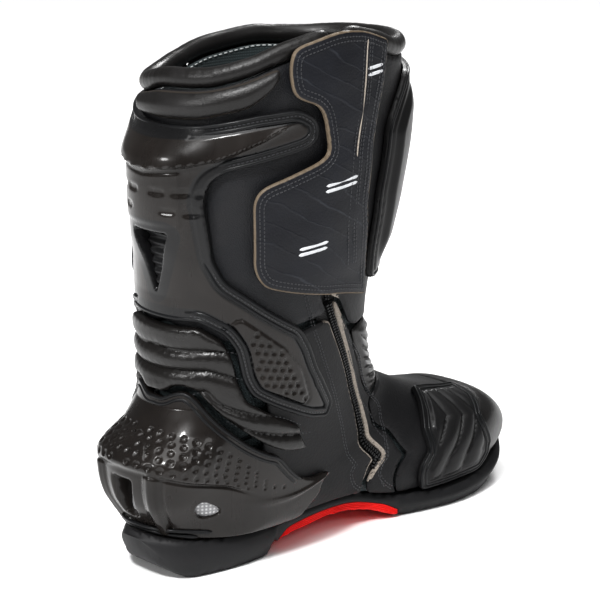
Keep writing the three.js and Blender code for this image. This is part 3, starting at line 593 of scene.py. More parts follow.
def both_sides(half, line):
    """Completes a half outline that starts and ends on u = line."""
    return [*half, *[(2 * line - p[0], *p[1:]) for p in reversed(half) if p[0] != line]]


def lateral_side(outline):
    return [(2 - p[0], *p[1:]) for p in reversed(outline)]


def rounded(outline, radius, steps=5):
    """A closed outline with rounded corners; a corner's own radius may follow it."""
    flat = np.array([(p[0] * MM_PER_U, p[1]) for p in outline], float)
    made = []
    for i, point in enumerate(flat):
        reach = outline[i][2] if len(outline[i]) > 2 else radius
        before, after = flat[i - 1] - point, flat[(i + 1) % len(flat)] - point
        a, b = np.linalg.norm(before), np.linalg.norm(after)
        start = point + before * min(reach / max(a, 1e-6), 0.5)
        end = point + after * min(reach / max(b, 1e-6), 0.5)
        for t in np.linspace(0, 1, steps + 1):
            made.append((1 - t) ** 2 * start + 2 * t * (1 - t) * point + t * t * end)
    made = np.array(made)
    keep = np.linalg.norm(made - np.roll(made, 1, axis=0), axis=1) > 1e-4
    made = made[keep]
    made[:, 0] /= MM_PER_U
    return made


def dense(path, step, closed=True, lift=0.0, where=place):
    """The path again, with points at an even spacing in millimetres."""
    path = np.asarray(path, float)[:, :2]
    ends = np.vstack([path, path[:1]]) if closed else path
    spans = [np.linspace(a, b, 6, endpoint=False) for a, b in zip(ends[:-1], ends[1:])]
    fine = np.vstack(spans + [ends[-1:]])
    length = np.concatenate([[0], np.cumsum(np.linalg.norm(
        np.diff(where(fine[:, 0], fine[:, 1], lift), axis=0), axis=1))])
    count = max(2, int(round(length[-1] / step)))
    at = np.linspace(0, length[-1], count, endpoint=not closed)
    return np.stack([np.interp(at, length, fine[:, k]) for k in range(2)], -1)


def tree_of(points):
    tree = kdtree.KDTree(len(points))
    for i, point in enumerate(points):
        tree.insert(point, i)
    tree.balance()
    return tree


def nearest(tree, points):
    found = [tree.find(point) for point in points.tolist()]
    return np.array([f[2] for f in found]), np.array([f[1] for f in found])


def inside(loops, a, b):
    """Even-odd test of points against closed loops."""
    result = np.zeros(a.shape, bool)
    for loop in loops:
        x1, y1 = loop[:, 0], loop[:, 1]
        x2, y2 = np.roll(x1, -1), np.roll(y1, -1)
        for k in range(len(loop)):
            if y1[k] == y2[k]:
                continue
            crosses = (y1[k] > b) != (y2[k] > b)
            edge = (x2[k] - x1[k]) * (b[crosses] - y1[k]) / (y2[k] - y1[k]) + x1[k]
            result[crosses] ^= a[crosses] < edge
    return result


def sideways(path, across, at):
    """How (u, s) changes for one millimetre along across, where at places points."""
    du = (at(path[:, 0] + 0.002, path[:, 1]) - at(path[:, 0] - 0.002, path[:, 1])) / 0.004
    ds = at(path[:, 0], path[:, 1] + 0.5) - at(path[:, 0], path[:, 1] - 0.5)
    uu, us, ss = (du * du).sum(-1), (du * ds).sum(-1), (ds * ds).sum(-1)
    au, along = (du * across).sum(-1), (ds * across).sum(-1)
    det = uu * ss - us * us
    return np.stack([(ss * au - us * along) / det, (uu * along - us * au) / det], -1)


def inset(loop, distance, lift=0.0, step=0.8):
    """A closed path that lies inside a loop, at a distance from it in millimetres."""
    def at(u, s):
        return place(u, s, level(lift, np.stack([u, s], -1)))

    path = dense(loop, 0.5)
    here = at(path[:, 0], path[:, 1])
    tangent = unit(np.roll(here, -1, axis=0) - np.roll(here, 1, axis=0))
    move = sideways(path, np.cross(outward(path[:, 0], path[:, 1]), tangent), at)
    trial = path + move * 0.3
    if inside([path], trial[:, 0], trial[:, 1]).mean() < 0.5:
        move = -move
    moved = path + move * distance
    gap, _ = nearest(tree_of(here), at(moved[:, 0], moved[:, 1]))
    moved = moved[gap > 0.96 * abs(distance)]
    for _ in range(3):
        moved = (np.roll(moved, 1, axis=0) + 2 * moved + np.roll(moved, -1, axis=0)) / 4
    return dense(moved, step)


# ---------- meshes ----------

RIM_ATTRIBUTES = ("raw", "border")
NO_RIM = -5.0    # millimetres inside the outline where no rim colour shows


def new_object(name, points, faces, material, attributes=None, sharp=50):
    """A smooth-shaded object from points in millimetres of the row frame."""
    mesh = bpy.data.meshes.new(name)
    mesh.from_pydata((np.asarray(points) / 1000).tolist(), [], faces)
    plain = {key: np.full(len(mesh.vertices), NO_RIM) for key in RIM_ATTRIBUTES}
    for key, values in (plain | (attributes or {})).items():
        mesh.attributes.new(key, "FLOAT", "POINT").data.foreach_set("value", np.asarray(values, np.float32))
    mesh.materials.append(MATERIALS[material])
    mesh.shade_smooth()
    if sharp:
        mesh.set_sharp_from_angle(angle=math.radians(sharp))
    obj = bpy.data.objects.new(name, mesh)
    bpy.context.scene.collection.objects.link(obj)
    return obj


def attach(obj, body, node=None):
    """Ties a piece to its body, or bakes it in place across the ankle, and hides the CAD node it stands for.
    """
    if body == "ankle":
        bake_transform(obj)
    else:
        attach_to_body(obj, body)
    if node:
        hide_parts(*([node] if isinstance(node, str) else node))
    return obj


SNAP_SHARE = 0.53    # how near the outline, in cells, a grid point moves onto it


def grid_of(loops, cell, where):
    """A grid over loops in a plane (a, b), snapped to them: parameters, distance inside and faces."""
    edge = np.concatenate(loops)
    low, high = edge.min(0), edge.max(0)
    h = 1e-3 * (high - low)
    scale_a = np.linalg.norm(where(edge[:, 0] + h[0], edge[:, 1], 0.0)
                             - where(edge[:, 0] - h[0], edge[:, 1], 0.0), axis=1).mean() / (2 * h[0])
    scale_b = np.linalg.norm(where(edge[:, 0], edge[:, 1] + h[1], 0.0)
                             - where(edge[:, 0], edge[:, 1] - h[1], 0.0), axis=1).mean() / (2 * h[1])
    count = [int((high - low)[k] * (scale_a, scale_b)[k] / cell) + 3 for k in range(2)]
    a, b = np.meshgrid(np.linspace(low[0] - h[0], high[0] + h[0], count[0]),
                       np.linspace(low[1] - h[1], high[1] + h[1], count[1]), indexing="ij")
    points = where(a, b, 0.0)
    reach = np.zeros(a.shape)
    side_a = np.linalg.norm(np.diff(points, axis=0), axis=-1)
    side_b = np.linalg.norm(np.diff(points, axis=1), axis=-1)
    for side, slots in ((side_a, (np.s_[:-1, :], np.s_[1:, :])), (side_b, (np.s_[:, :-1], np.s_[:, 1:]))):
        for place_in in slots:
            reach[place_in] = np.maximum(reach[place_in], side)
    within = inside(loops, a, b)
    tree = tree_of(where(edge[:, 0], edge[:, 1], 0.0))
    gap, index = nearest(tree, points.reshape(-1, 3))
    gap, index = gap.reshape(a.shape), index.reshape(a.shape)
    snapped = gap < SNAP_SHARE * reach
    a, b = np.where(snapped, edge[index, 0], a), np.where(snapped, edge[index, 1], b)
    gap = np.where(snapped, 0.0, gap)
    usable = within | snapped
    number = np.arange(a.size).reshape(a.shape)
    corners = np.stack([number[:-1, :-1], number[1:, :-1], number[1:, 1:], number[:-1, 1:]], -1)
    corners = corners.reshape(-1, 4)
    ok, on_edge = usable.ravel()[corners], snapped.ravel()[corners]
    flat_a, flat_b = a.ravel(), b.ravel()
    full = ok.all(1)
    doubt = full & on_edge.all(1)
    full[doubt] = inside(loops, flat_a[corners[doubt]].mean(1), flat_b[corners[doubt]].mean(1))
    faces = corners[full].tolist()
    for k in range(4):
        keep = [j for j in range(4) if j != k]
        three = ok[:, keep].all(1) & ~ok[:, k]
        triangles = corners[three][:, keep]
        centre = inside(loops, flat_a[triangles].mean(1), flat_b[triangles].mean(1))
        faces += triangles[centre].tolist()
    made = []
    for face in faces:
        spots = {(round(flat_a[i], 9), round(flat_b[i], 9)): i for i in face}
        if len(spots) >= 3:
            made.append(list(spots.values()))
    weld = {}
    where_to = {}
    for face in made:
        for i in face:
            where_to[i] = weld.setdefault((round(flat_a[i], 9), round(flat_b[i], 9)), len(weld))
    first = {}
    for i, k in where_to.items():
        first.setdefault(k, i)
    order = np.array([first[k] for k in range(len(weld))])
    made = [[where_to[i] for i in face] for face in made]
    return flat_a[order], flat_b[order], gap.ravel()[order], made


def rim_edges(faces):
    """The directed edges that only one face has."""
    edges = {}
    for face in faces:
        for i, start in enumerate(face):
            edges[(start, face[(i + 1) % len(face)])] = True
    return [edge for edge in edges if (edge[1], edge[0]) not in edges]


def slab(loops, cell, top, bottom, where, wall=()):
    """A closed solid between two placings of a snapped grid, with extra rings on its side wall."""
    a, b, gap, faces = grid_of(loops, cell, where)
    upper, lower = top(a, b, gap), bottom(a, b, gap)
    count = len(a)
    edges = rim_edges(faces)
    points = [upper, lower]
    made = faces + [[i + count for i in reversed(face)] for face in faces]
    ring = sorted({i for edge in edges for i in edge})
    slot_of = {i: k for k, i in enumerate(ring)}
    levels = [lambda i: i]
    after = {start: end for start, end in edges}
    before = {end: start for start, end in edges}
    if len(wall):
        step = np.array([upper[after.get(i, i)] - upper[before.get(i, i)] for i in ring])
        rise = upper[ring] - lower[ring]
        push = unit(np.cross(step, rise))
        for k, (part, out) in enumerate(wall):
            amount = np.asarray(out(a[ring], b[ring]) if callable(out) else out)
            points.append(lower[ring] + rise * part + push * np.broadcast_to(amount, len(ring))[:, None])
            start = 2 * count + k * len(ring)
            levels.append(lambda i, start=start: start + slot_of[i])
    levels.append(lambda i: i + count)
    for start, end in edges:
        for high, low in zip(levels[:-1], levels[1:]):
            made.append([high(end), high(start), low(start), low(end)])
    return np.concatenate(points), made, a, b, gap


def edge_drop(gap, radius):
    """How far a rounded rim falls below the face at a distance from the outline."""
    reach = np.clip(gap, 0, radius)
    return radius - np.sqrt(np.maximum(radius ** 2 - (radius - reach) ** 2, 0))


def panel(name, outline, layer, material, body, node=None, cell=1.4, edge=0.8, radius=4,
          relief=None, holes=(), raw=NO_RIM, border=NO_RIM, sharp=50, sunk=False):
    """A piece of the boot between two distances from its surface, with a rounded rim."""
    loops = [dense(rounded(outline, radius), 0.5)]
    loops += [dense(rounded(hole, 2.5), 0.4) for hole in holes]
    inner, outer = layer

    def top(u, s, gap):
        lift = outer + (relief(u, s, gap) if relief else 0.0) - edge_drop(gap, edge)
        return place(u, s, lift - (zip_bulge(s) if sunk else 0.0))

    def under(u, s, gap):
        return place(u, s, np.full(len(u), inner) - (zip_bulge(s) if sunk else 0.0))

    points, faces, u, s, gap = slab(loops, cell, top, under, place)
    both = np.concatenate([gap, gap])
    width = np.broadcast_to(raw(u, s), len(u)) if callable(raw) else np.full(len(u), raw)
    attributes = {"raw": np.concatenate([width, width]) - both, "border": border - both}
    obj = new_object(name, points, faces, material, attributes, sharp)
    attach(obj, body, node)
    return obj, loops


class Batch:
    """Many small closed meshes that make one piece."""

    def __init__(self):
        self.points, self.faces, self.count = [], [], 0

    def add(self, points, faces):
        points = np.asarray(points).reshape(-1, 3)
        self.points.append(points)
        self.faces += [[i + self.count for i in face] for face in faces]
        self.count += len(points)

    def make(self, name, material, body, slot=None, node=None, sharp=50):
        obj = new_object(name, np.concatenate(self.points), self.faces, material, None, sharp)
        return attach(obj, body, node)


def level(lift, path):
    """A distance from the surface, the same all along a path or a function of (u, s)."""
    return np.broadcast_to(lift(path[:, 0], path[:, 1]) if callable(lift) else lift, len(path))


def frames_along(path, lift, closed):
    here = place(path[:, 0], path[:, 1], level(lift, path))
    if closed:
        tangent = unit(np.roll(here, -1, axis=0) - np.roll(here, 1, axis=0))
    else:
        tangent = unit(np.gradient(here, axis=0))
    up = outward(path[:, 0], path[:, 1])
    across = unit(np.cross(up, tangent))
    return here, tangent, np.cross(tangent, across), across


def sweep(batch, path, lift, width, rise, closed=False, sink=0.6, segments=8, taper=0):
    """A half-round strip along a path in (u, s)."""
    path = np.asarray(path, float)
    here, _, up, across = frames_along(path, lift, closed)
    size = np.ones(len(path))
    if taper and not closed:
        ends = np.minimum(np.arange(len(path)), np.arange(len(path))[::-1]) / taper
        size = np.sqrt(np.clip(ends, 0.02, 1))
    angles = np.linspace(0, np.pi, segments + 1)
    section = [(-width / 2, -sink)] + [(-width / 2 * math.cos(t), rise * math.sin(t)) for t in angles]
    section += [(width / 2, -sink)]
    rings = np.stack([here + across * (x * size)[:, None] + up * (y * size)[:, None] for x, y in section], 1)
    sides, count = len(section), len(path)
    faces = []
    for i in range(count if closed else count - 1):
        j = (i + 1) % count
        for k in range(sides):
            m = (k + 1) % sides
            faces.append([i * sides + k, i * sides + m, j * sides + m, j * sides + k])
    if not closed:
        faces.append(list(range(sides))[::-1])
        faces.append([(count - 1) * sides + k for k in range(sides)])
    batch.add(rings, faces)


STITCH_RINGS = ((-0.5, 0.35), (-0.42, 0.8), (0.0, 1.0), (0.42, 0.8), (0.5, 0.35))


def stitch(batch, path, lift, pitch=2.3, length=1.6, radius=0.33, closed=False, sides=6):
    """A row of sewing stitches, each a small rounded capsule half sunk in the leather."""
    spots = dense(path, pitch, closed=closed, lift=0.0)
    here, tangent, up, across = frames_along(spots, lift, closed)
    angles = np.arange(sides) * 2 * np.pi / sides
    rings = []
    for along, size in STITCH_RINGS:
        sag = -0.5 * radius * (abs(along) > 0.45)
        for t in angles:
            rings.append(here + tangent * along * length + across * (radius * size * math.cos(t))
                         + up * (radius * size * math.sin(t) + sag))
    rings = np.stack(rings, 1)
    base = []
    for r in range(len(STITCH_RINGS) - 1):
        for k in range(sides):
            m = (k + 1) % sides
            base.append([r * sides + k, (r + 1) * sides + k, (r + 1) * sides + m, r * sides + m])
    last = (len(STITCH_RINGS) - 1) * sides
    base.append(list(range(sides)))
    base.append([last + k for k in range(sides)][::-1])
    size = rings.shape[1]
    faces = [[i * size + k for k in face] for i in range(len(spots)) for face in base]
    batch.add(rings, faces)


def smooth_path(points, closed=False, step=0.8):
    """A smooth path through a few (u, s) points."""
    points = np.asarray(points, float)
    if closed:
        return dense(rounded(points.tolist(), 99), step)
    steps = np.hypot(np.diff(points[:, 0]) * MM_PER_U, np.diff(points[:, 1]))
    length = np.concatenate([[0], np.cumsum(steps)])
    at = curve(np.column_stack([length, points]))
    return dense(at(np.linspace(0, length[-1], 80)), step, closed=False)


def shifted(path, amount):
    """An open path moved sideways by an amount in millimetres."""
    _, _, _, across = frames_along(path, 0.0, False)
    return path + amount * sideways(path, across, lambda u, s: place(u, s, 0.0))


def step_up(value, low, high):
    t = np.clip((value - low) / (high - low), 0, 1)
    return t * t * (3 - 2 * t)


def distance_to(paths, u, s, lift=0.0):
    """Distance in millimetres from points to the nearest of some (u, s) paths."""
    line = np.concatenate([place(p[:, 0], p[:, 1], lift) for p in paths])
    gap, _ = nearest(tree_of(line), place(u, s, lift).reshape(-1, 3))
    return gap.reshape(np.shape(u))


stitches_dark = {"foot": Batch(), "shaft": Batch(), "ankle": Batch(), "closure_flap": Batch()}
beads = {"foot": Batch(), "shaft": Batch()}
raw_edges = {"foot": Batch(), "shaft": Batch(), "ankle": Batch(), "closure_flap": Batch()}

# ---------- sole ----------


def catmull(points, per_span):
    points = np.array(points, float)
    made = []
    for i in range(len(points)):
        p0, p1, p2, p3 = (points[(i + k) % len(points)] for k in (-1, 0, 1, 2))
        for t in np.linspace(0, 1, per_span, endpoint=False):
            made.append(0.5 * (2 * p1 + (p2 - p0) * t + (2 * p0 - 5 * p1 + 4 * p2 - p3) * t * t
                               + (3 * p1 - p0 - 3 * p2 + p3) * t ** 3))
    return np.array(made)


def flat_place(x, y, z):
    x, y, z = np.broadcast_arrays(np.asarray(x, float), np.asarray(y, float), np.asarray(z, float))
    return np.stack([x, y, z], -1) + SHIFT


SOLE_EDGE_TOP, SOLE_EDGE_BOTTOM = 2.6, 4.6
plan = dense(catmull(SOLE_PLAN, 14), 1.0, where=flat_place)


def tread(x, y, gap):
    """How deep the cut pattern of the sole's underside is."""
    lugs = np.abs(np.mod(x + 0.35 * np.abs(y + 3), 11.0) - 5.5)
    groove = 1.6 * step_up(lugs, 3.6, 4.6)
    channel = 1.6 * step_up(-np.abs(y + 3), -2.2, -1.2)
    on_floor = step_up(-sole_bottom(x), -1.5, -0.1)
    inner = step_up(gap, 5.0, 6.0)
    return np.maximum(groove, channel) * on_floor * inner


def in_arch(x):
    return (x > ARCH_START - 0.3) & (x < ARCH_END + 0.3)


def sole_face(x, y, gap):
    return flat_place(x, y, sole_top(x) - edge_drop(gap, SOLE_EDGE_TOP))


def sole_under(x, y, gap):
    height = sole_bottom(x) + tread(x, y, gap) + edge_drop(gap, SOLE_EDGE_BOTTOM)
    return flat_place(x, y, np.where(in_arch(x), arch_curve(x)[..., 0] + 0.3, height))


def waist(part, depth):
    return lambda x, y: depth * np.sin(math.pi * part) * np.where(in_arch(x), 0.3, 1.0)


points, faces, *_ = slab([plan], 1.9, sole_face, sole_under, flat_place,
                         wall=[(p, waist(p, 1.3)) for p in (0.92, 0.8, 0.65, 0.5, 0.35, 0.2, 0.08)])
attach(new_object("outsole_tread", points, faces, "rubber_black", sharp=40),
       "foot", "outsole")

arch_plan = plan[(plan[:, 0] > ARCH_START) & (plan[:, 0] < ARCH_END)]
medial_run = arch_plan[arch_plan[:, 1] < 0]
lateral_run = arch_plan[arch_plan[:, 1] > 0]
arch_loop = dense(np.vstack([medial_run, lateral_run]), 1.0, where=flat_place)
GROOVES = 4


def rib(part):
    return lambda x, y: 0.1 - 0.75 * (0.5 + 0.5 * np.cos(2 * math.pi * GROOVES * part)) ** 3


points, faces, *_ = slab(
    [arch_loop], 1.9, lambda x, y, gap: flat_place(x, y, arch_curve(x)[..., 0]),
    lambda x, y, gap: flat_place(x, y, sole_bottom(x) + edge_drop(gap, 1.2)), flat_place,
    wall=[(p, rib(p)) for p in np.linspace(0.97, 0.03, 33)])
attach(new_object("arch_insert_ribbed", points, faces, "rubber_red", sharp=60),
       "foot", "arch_insert")

# ---------- foot ----------


def near_zip(width, back):
    """Raw-edge width that is wide beside the zip and thin elsewhere."""
    def at(u, s):
        beside = np.abs(u - zip_line(s)) < ZIP_GAP + 0.02
        return np.where(beside & (s < 330), width, back)
    return at


vamp_outline = [(0, 247), (0.14, 248), (0.278, 250), (0.36, 303), (0.494, 338),
                *along_sole(356, 383, 1, LEATHER),
                *along_sole(383, 356, -1, LEATHER), (-0.49, 338), (-0.36, 303), (-0.268, 247)]
panel("vamp_leather", vamp_outline, LEATHER, "leather_matte", "foot", "vamp", cell=1.5)
panel("toe_cap_leather", [*along_sole(385, 456, 1, LEATHER, 5), *along_sole(456, 385, -1, LEATHER, 5)],
      LEATHER, "leather_smooth", "foot", "toe_cap", cell=1.3, edge=1.2,
      relief=lambda u, s, gap: 0.9 * step_up(gap, 0, 9))
quarter_outline = [*along_zip(146, 322, ZIP_GAP), *along_sole(334, 302, 1, LEATHER),
                   (0.62, 296), (0.6, 250), (0.62, 200), (0.66, 150)]
panel("quarter_medial_leather", quarter_outline, LEATHER, "leather_matte", "ankle", "quarter_medial",
      radius=6, raw=near_zip(1.0, NO_RIM))
panel("quarter_lateral_leather", [
    (-0.66, 150), (-0.62, 200), (-0.6, 250), (-0.62, 296), *along_sole(302, 356, -1, LEATHER),
    (-0.505, 337), (-0.375, 302), (-0.282, 245), (-0.305, 195), (-0.395, 170), (-0.455, 156), (-0.546, 146)],
    LEATHER, "leather_matte", "ankle", "quarter_lateral")
facing_outline = [
    (0.45, 137), (0.38, 161), (0.357, 168), (0.303, 199), (0.262, 245), (0.288, 250), (0.37, 302),
    (0.505, 337),
    *along_sole(355, 338, 1, LEATHER), *along_zip(322, 136, -ZIP_GAP)]
panel("front_facing_leather", facing_outline, LEATHER, "leather_matte", "ankle", "front_facing",
      raw=near_zip(2.2, NO_RIM))


def instep_ribs(u, s, gap):
    phase = (s + 26 * (u / 0.3) ** 2) / 9.5
    return 1.5 * np.abs(np.sin(math.pi * phase)) ** 0.7 * step_up(gap, 1, 7) - 1.2 * (1 - step_up(gap, 0, 5))


panel("instep_stretch_ribs", [
    (0, 170), (0.15, 169), (0.345, 166), (0.292, 199), (0.25, 243), (0, 243), (-0.265, 243),
    (-0.29, 193), (-0.38, 169), (-0.32, 166.5)], (-2.0, 0.6), "leather_padded", "ankle", "instep_panel",
    cell=1.0, relief=instep_ribs)


def tape_outline(low, high, half):
    return [*along_zip(low, high, half), *along_zip(high, low, -half)]


panel("zip_foot_tape", tape_outline(137, 327, ZIP_TAPE_HALF), ZIP_TAPE, "zip_tape", "ankle", "zip_lower_tape")


# a tooth's offset from the zip's centre line and half its width, in millimetres
TOOTH_CLOSED, TOOTH_PARTED = (1.25, 1.2), (0.98, 0.55)
TOOTH_HALF_LENGTH, TOOTH_HALF_HEIGHT = 0.62, 0.8


def zip_teeth(name, low, high, sides, body, node):
    """Interlocking moulded teeth along the zip's centre line."""
    batch = Batch()
    line = dense(along_zip(low, high, 0.0), 2.0, closed=False)
    depth = ZIP_TEETH[0] + 0.2 - (zip_bulge(line[:, 1]) if body == "shaft" else 0.0)
    here, tangent, up, across = frames_along(line, lambda u, s: depth, False)
    cube = np.array([(x, y, z) for x in (-1, 1) for y in (-1, 1) for z in (-1, 1)], float)
    quads = [[0, 1, 3, 2], [4, 6, 7, 5], [0, 4, 5, 1], [2, 3, 7, 6], [0, 2, 6, 4], [1, 5, 7, 3]]
    offset, half = TOOTH_PARTED if body == "shaft" else TOOTH_CLOSED
    for side in sides:
        for i in range(len(line)):
            middle = here[i] + tangent[i] * (0.5 * side) + across[i] * (side * offset)
            narrow = np.where(cube[:, 2:] > 0, 0.75, 1.0)
            flat = (tangent[i] * cube[:, :1] * TOOTH_HALF_LENGTH + across[i] * cube[:, 1:2] * half) * narrow
            batch.add(middle + up[i] * 0.9 + flat + up[i] * cube[:, 2:] * TOOTH_HALF_HEIGHT, quads)
    return batch.make(name, "zip_black", body, "zip_black", node, sharp=30)


zip_teeth("zip_foot_teeth", 137, 323, (1, -1), "ankle", "zip_lower_teeth")

# heel cup: dimples, a rear recess with ribs and a long crease to the front
HEEL_WINDOW = [(0.965, 228), (1.035, 228), (1.028, 247), (0.972, 247)]
TEARDROP = [(0.800, 245), (0.786, 241.5), (0.764, 243.0), (0.735, 248.5), (0.724, 252), (0.742, 253),
            (0.775, 252.0), (0.795, 249.5)]
heel_outline = both_sides([
    (1, 177), (0.97, 178), (0.925, 173), (0.89, 172), (0.855, 176), (0.785, 191), (0.7, 208),
    (0.57, 232), (0.49, 281), (0.535, 296), *round_heel(305, 1, SHELL), (1, heel_station(SHELL))], 1)

DIMPLE_PITCH = 7.4


def fold(u):
    """The medial half of a mirrored piece: u from 0 to 1."""
    return np.where(u > 1, 2 - u, u)


def band_edges(u):
    """Stations of the dimple band's upper and lower edge."""
    upper = curve([(0.40, 272), (0.545, 257), (0.685, 219), (0.855, 198), (1.0, 193)])(u)[..., 0]
    lower = curve([(0.40, 274), (0.56, 262), (0.72, 235), (0.785, 229), (0.92, 223), (1.0, 222)])(u)[..., 0]
    return upper, lower


heel_flare = curve(HEEL_FLARE)


def heel_face(u, s):
    """Distance of the heel cup's face, which flares out at the back in a band."""
    reach = np.clip((np.abs(u - 1) - HEEL_FLARE_HALF) / HEEL_FLARE_FADE, 0, 1)
    return SHELL[1] + heel_flare(s)[..., 0] * (1 + np.cos(math.pi * reach)) / 2


def dimples(u, s, spot, depth):
    """Round dents at given (u, s) spots; each is a bowl with a crisp rim."""
    spots = np.array(spot)
    centres = place(spots[:, 0], spots[:, 1], heel_face(spots[:, 0], spots[:, 1]))
    gap, index = nearest(tree_of(centres), place(u, s, heel_face(u, s)).reshape(-1, 3))
    size = spots[index, 2]
    t = np.clip(gap / size, 0, 1)
    bowl = -depth * size / 2.0 * (1 - t ** 2) ** 0.7
    return bowl.reshape(np.shape(u))


def heel_spots():
    spots = []
    for row in range(5):
        part = 0.14 + 0.19 * row
        line_u = np.linspace(1.0, 0.56, 400)
        upper, lower = band_edges(line_u)
        line_s = upper + (lower - upper) * part
        here = place(line_u, line_s, heel_face(line_u, line_s))
        length = np.concatenate([[0], np.cumsum(np.linalg.norm(np.diff(here, axis=0), axis=1))])
        start = DIMPLE_PITCH * (0.5 if row % 2 else 1.0)
        for at in np.arange(start, length[-1], DIMPLE_PITCH):
            u = float(np.interp(at, length, line_u))
            s = float(np.interp(at, length, line_s))
            up, low = band_edges(np.array(u))
            if low - up < 17 and row in (0, 4) or low - up < 11 and row % 2:
                continue
            size = 2.25 * float(np.clip((u - 0.40) / 0.4, 0.6, 1.0))
            spots += [(u, s, size), (2 - u, s, size)]
    return spots


HEEL_SPOTS = heel_spots()


def heel_relief(u, s, gap):
    m = fold(u)
    upper, lower = band_edges(m)
    below = step_up(s, lower, lower + 2.5)
    ends = step_up(m, 0.60, 0.72)
    height = -1.0 * below * ends
    height = height + dimples(u, s, HEEL_SPOTS, 1.0)
    height = height - 1.6 * np.exp(-((s - lower - 1.2) / 1.1) ** 2) * ends
    in_rear = step_up(m, 0.925, 0.935) * step_up(s, lower + 1, lower + 3)
    height = height - 1.4 * in_rear
    rib_line = np.exp(-((m - 0.905) / 0.016) ** 4) * step_up(s, lower - 1, lower + 2)
    beside_rib = np.exp(-((m - 0.880) / 0.006) ** 2) * step_up(s, lower, lower + 3)
    height = height + 2.0 * rib_line - 1.1 * beside_rib
    crease = curve([(0.49, 281), (0.60, 262), (0.68, 252)])(np.clip(m, 0.49, 0.68))[..., 0]
    near = (s - crease) / 3.0
    height = height + 0.9 * np.exp(-near ** 2) * np.clip((0.70 - m) / 0.1, 0, 1)
    seam = curve([(0.93, 215), (0.965, 204), (1.0, 200)])(np.clip(m, 0.93, 1.0))[..., 0]
    height = height - 0.9 * np.exp(-((s - seam) / 0.8) ** 2) * step_up(m, 0.925, 0.94)
    rim_hole = distance_to([dense(rounded(TEARDROP, 3), 0.6)], m, s)
    height = height + 0.5 * np.exp(-(rim_hole / 1.4) ** 2)
    return height + heel_face(u, s) - SHELL[1]


_, heel_loops = panel(
    "heel_cup_moulded", heel_outline, SHELL, "shell_gloss", "foot", "heel_cup", cell=0.6, radius=5, edge=1.2,
    relief=heel_relief, holes=[HEEL_WINDOW, TEARDROP, lateral_side(TEARDROP)])


def smaller(ring, part):
    ring = np.array([p[:2] for p in ring], float)
    return (ring.mean(0) + (ring - ring.mean(0)) * part).tolist()


for name, ring in (("rear", HEEL_WINDOW), ("medial", TEARDROP), ("lateral", lateral_side(TEARDROP))):
    panel(f"heel_vent_mesh_{name}", smaller(ring, 1.08), (1.2, 2.4), "mesh_silver", "foot",
          f"heel_mesh_{name}", cell=0.7, edge=0.3, radius=2)

# padded channels over the ankle
bellows_outline = both_sides([
    (1, 130), (0.86, 130), (0.79, 139), (0.758, 149), (0.733, 168), (0.703, 182), (0.585, 204),
    (0.535, 213), (0.515, 230), (0.508, 237), (0.56, 229), (0.69, 204), (0.775, 187), (0.847, 172),
    (0.89, 168), (0.93, 169), (0.967, 174), (1, 173)], 1)
BELLOWS_SEAMS = [
    [(1, 144), (0.94, 145), (0.85, 145), (0.765, 147), (0.74, 149)],
    [(1, 158), (0.92, 158), (0.84, 158), (0.775, 162), (0.72, 167)],
    [(0.86, 174), (0.83, 172), (0.785, 180), (0.70, 190), (0.585, 203), (0.53, 214)],
    [(0.745, 194), (0.705, 200), (0.60, 213), (0.525, 222), (0.50, 226)]]


def mirrored_paths(paths, step=1.0):
    made = []
    for path in paths:
        line = smooth_path(path, step=step)
        made += [line, np.column_stack([2 - line[:, 0], line[:, 1]])]
    return made


bellows_lines = mirrored_paths(BELLOWS_SEAMS)


def puff(gap, reach, rise):
    t = np.clip(gap / reach, 0, 1)
    return rise * (np.sqrt(1 - (1 - t) ** 2) - 1)


def bellows_relief(u, s, gap):
    line = distance_to(bellows_lines, u, s)
    seam = np.minimum(line, gap)
    pucker = 0.07 * np.sin(u * 230 + 1.6 * np.sin(s * 0.45)) * np.exp(-((seam - 2.4) / 1.8) ** 2)
    return puff(line, 6.5, 3.6) + puff(gap, 4.0, 1.8) + pucker + 0.6


bellows, _ = panel("ankle_bellows_padded", bellows_outline, (1.0, 6.2), "leather_padded", "ankle",
                   "ankle_bellows", cell=0.8, edge=0.4, relief=bellows_relief)

RING = [(u, 152) for u in np.linspace(0, 2, 17)] + [(u, 212) for u in np.linspace(2, 0, 17)]
panel("ankle_sleeve_lining", RING, LINING, "lining_fabric", "ankle", "ankle_sleeve", cell=2.5, radius=0.1)

# toe shift pad with three swept ribs between its beads
shift_outline = [(0.14, 307), (0.26, 319), (0.395, 334), (0.485, 348),
                 *along_sole(366, 408, 1, INSERT), (0.525, 411),
                 (0.355, 388), (0.19, 386), (0.085, 374)]


def shift_relief(u, s, gap):
    phase = (s - 300 - 95 * u + 60 * np.abs(u - 0.33)) / 16.0
    ribs = np.abs(np.sin(math.pi * phase)) ** 0.8
    facet = step_up(u, 0.34, 0.36) * step_up(-u, -0.52, -0.50)
    return step_up(gap, 5.5, 8.5) * (2.0 * ribs + 1.0 * facet * (0.5 - np.mod(phase, 1.0)))


_, shift_loops = panel("toe_shift_pad_moulded", shift_outline, INSERT, "shell_satin", "foot", "toe_shift_pad",
                       cell=0.8, relief=shift_relief, edge=1.2, radius=5)
slider_outline = [(-0.44, 370), (-0.57, 372), (-0.575, 402), (-0.55, 428), (-0.44, 426), (-0.4, 398)]
panel("toe_slider_moulded", slider_outline, (1.0, 5.4), "shell_satin", "foot", "toe_slider", cell=0.8,
      edge=2.0, radius=7, relief=lambda u, s, gap: -0.7 * np.exp(-((gap - 5) / 0.9) ** 2))

# ---------- shaft ----------

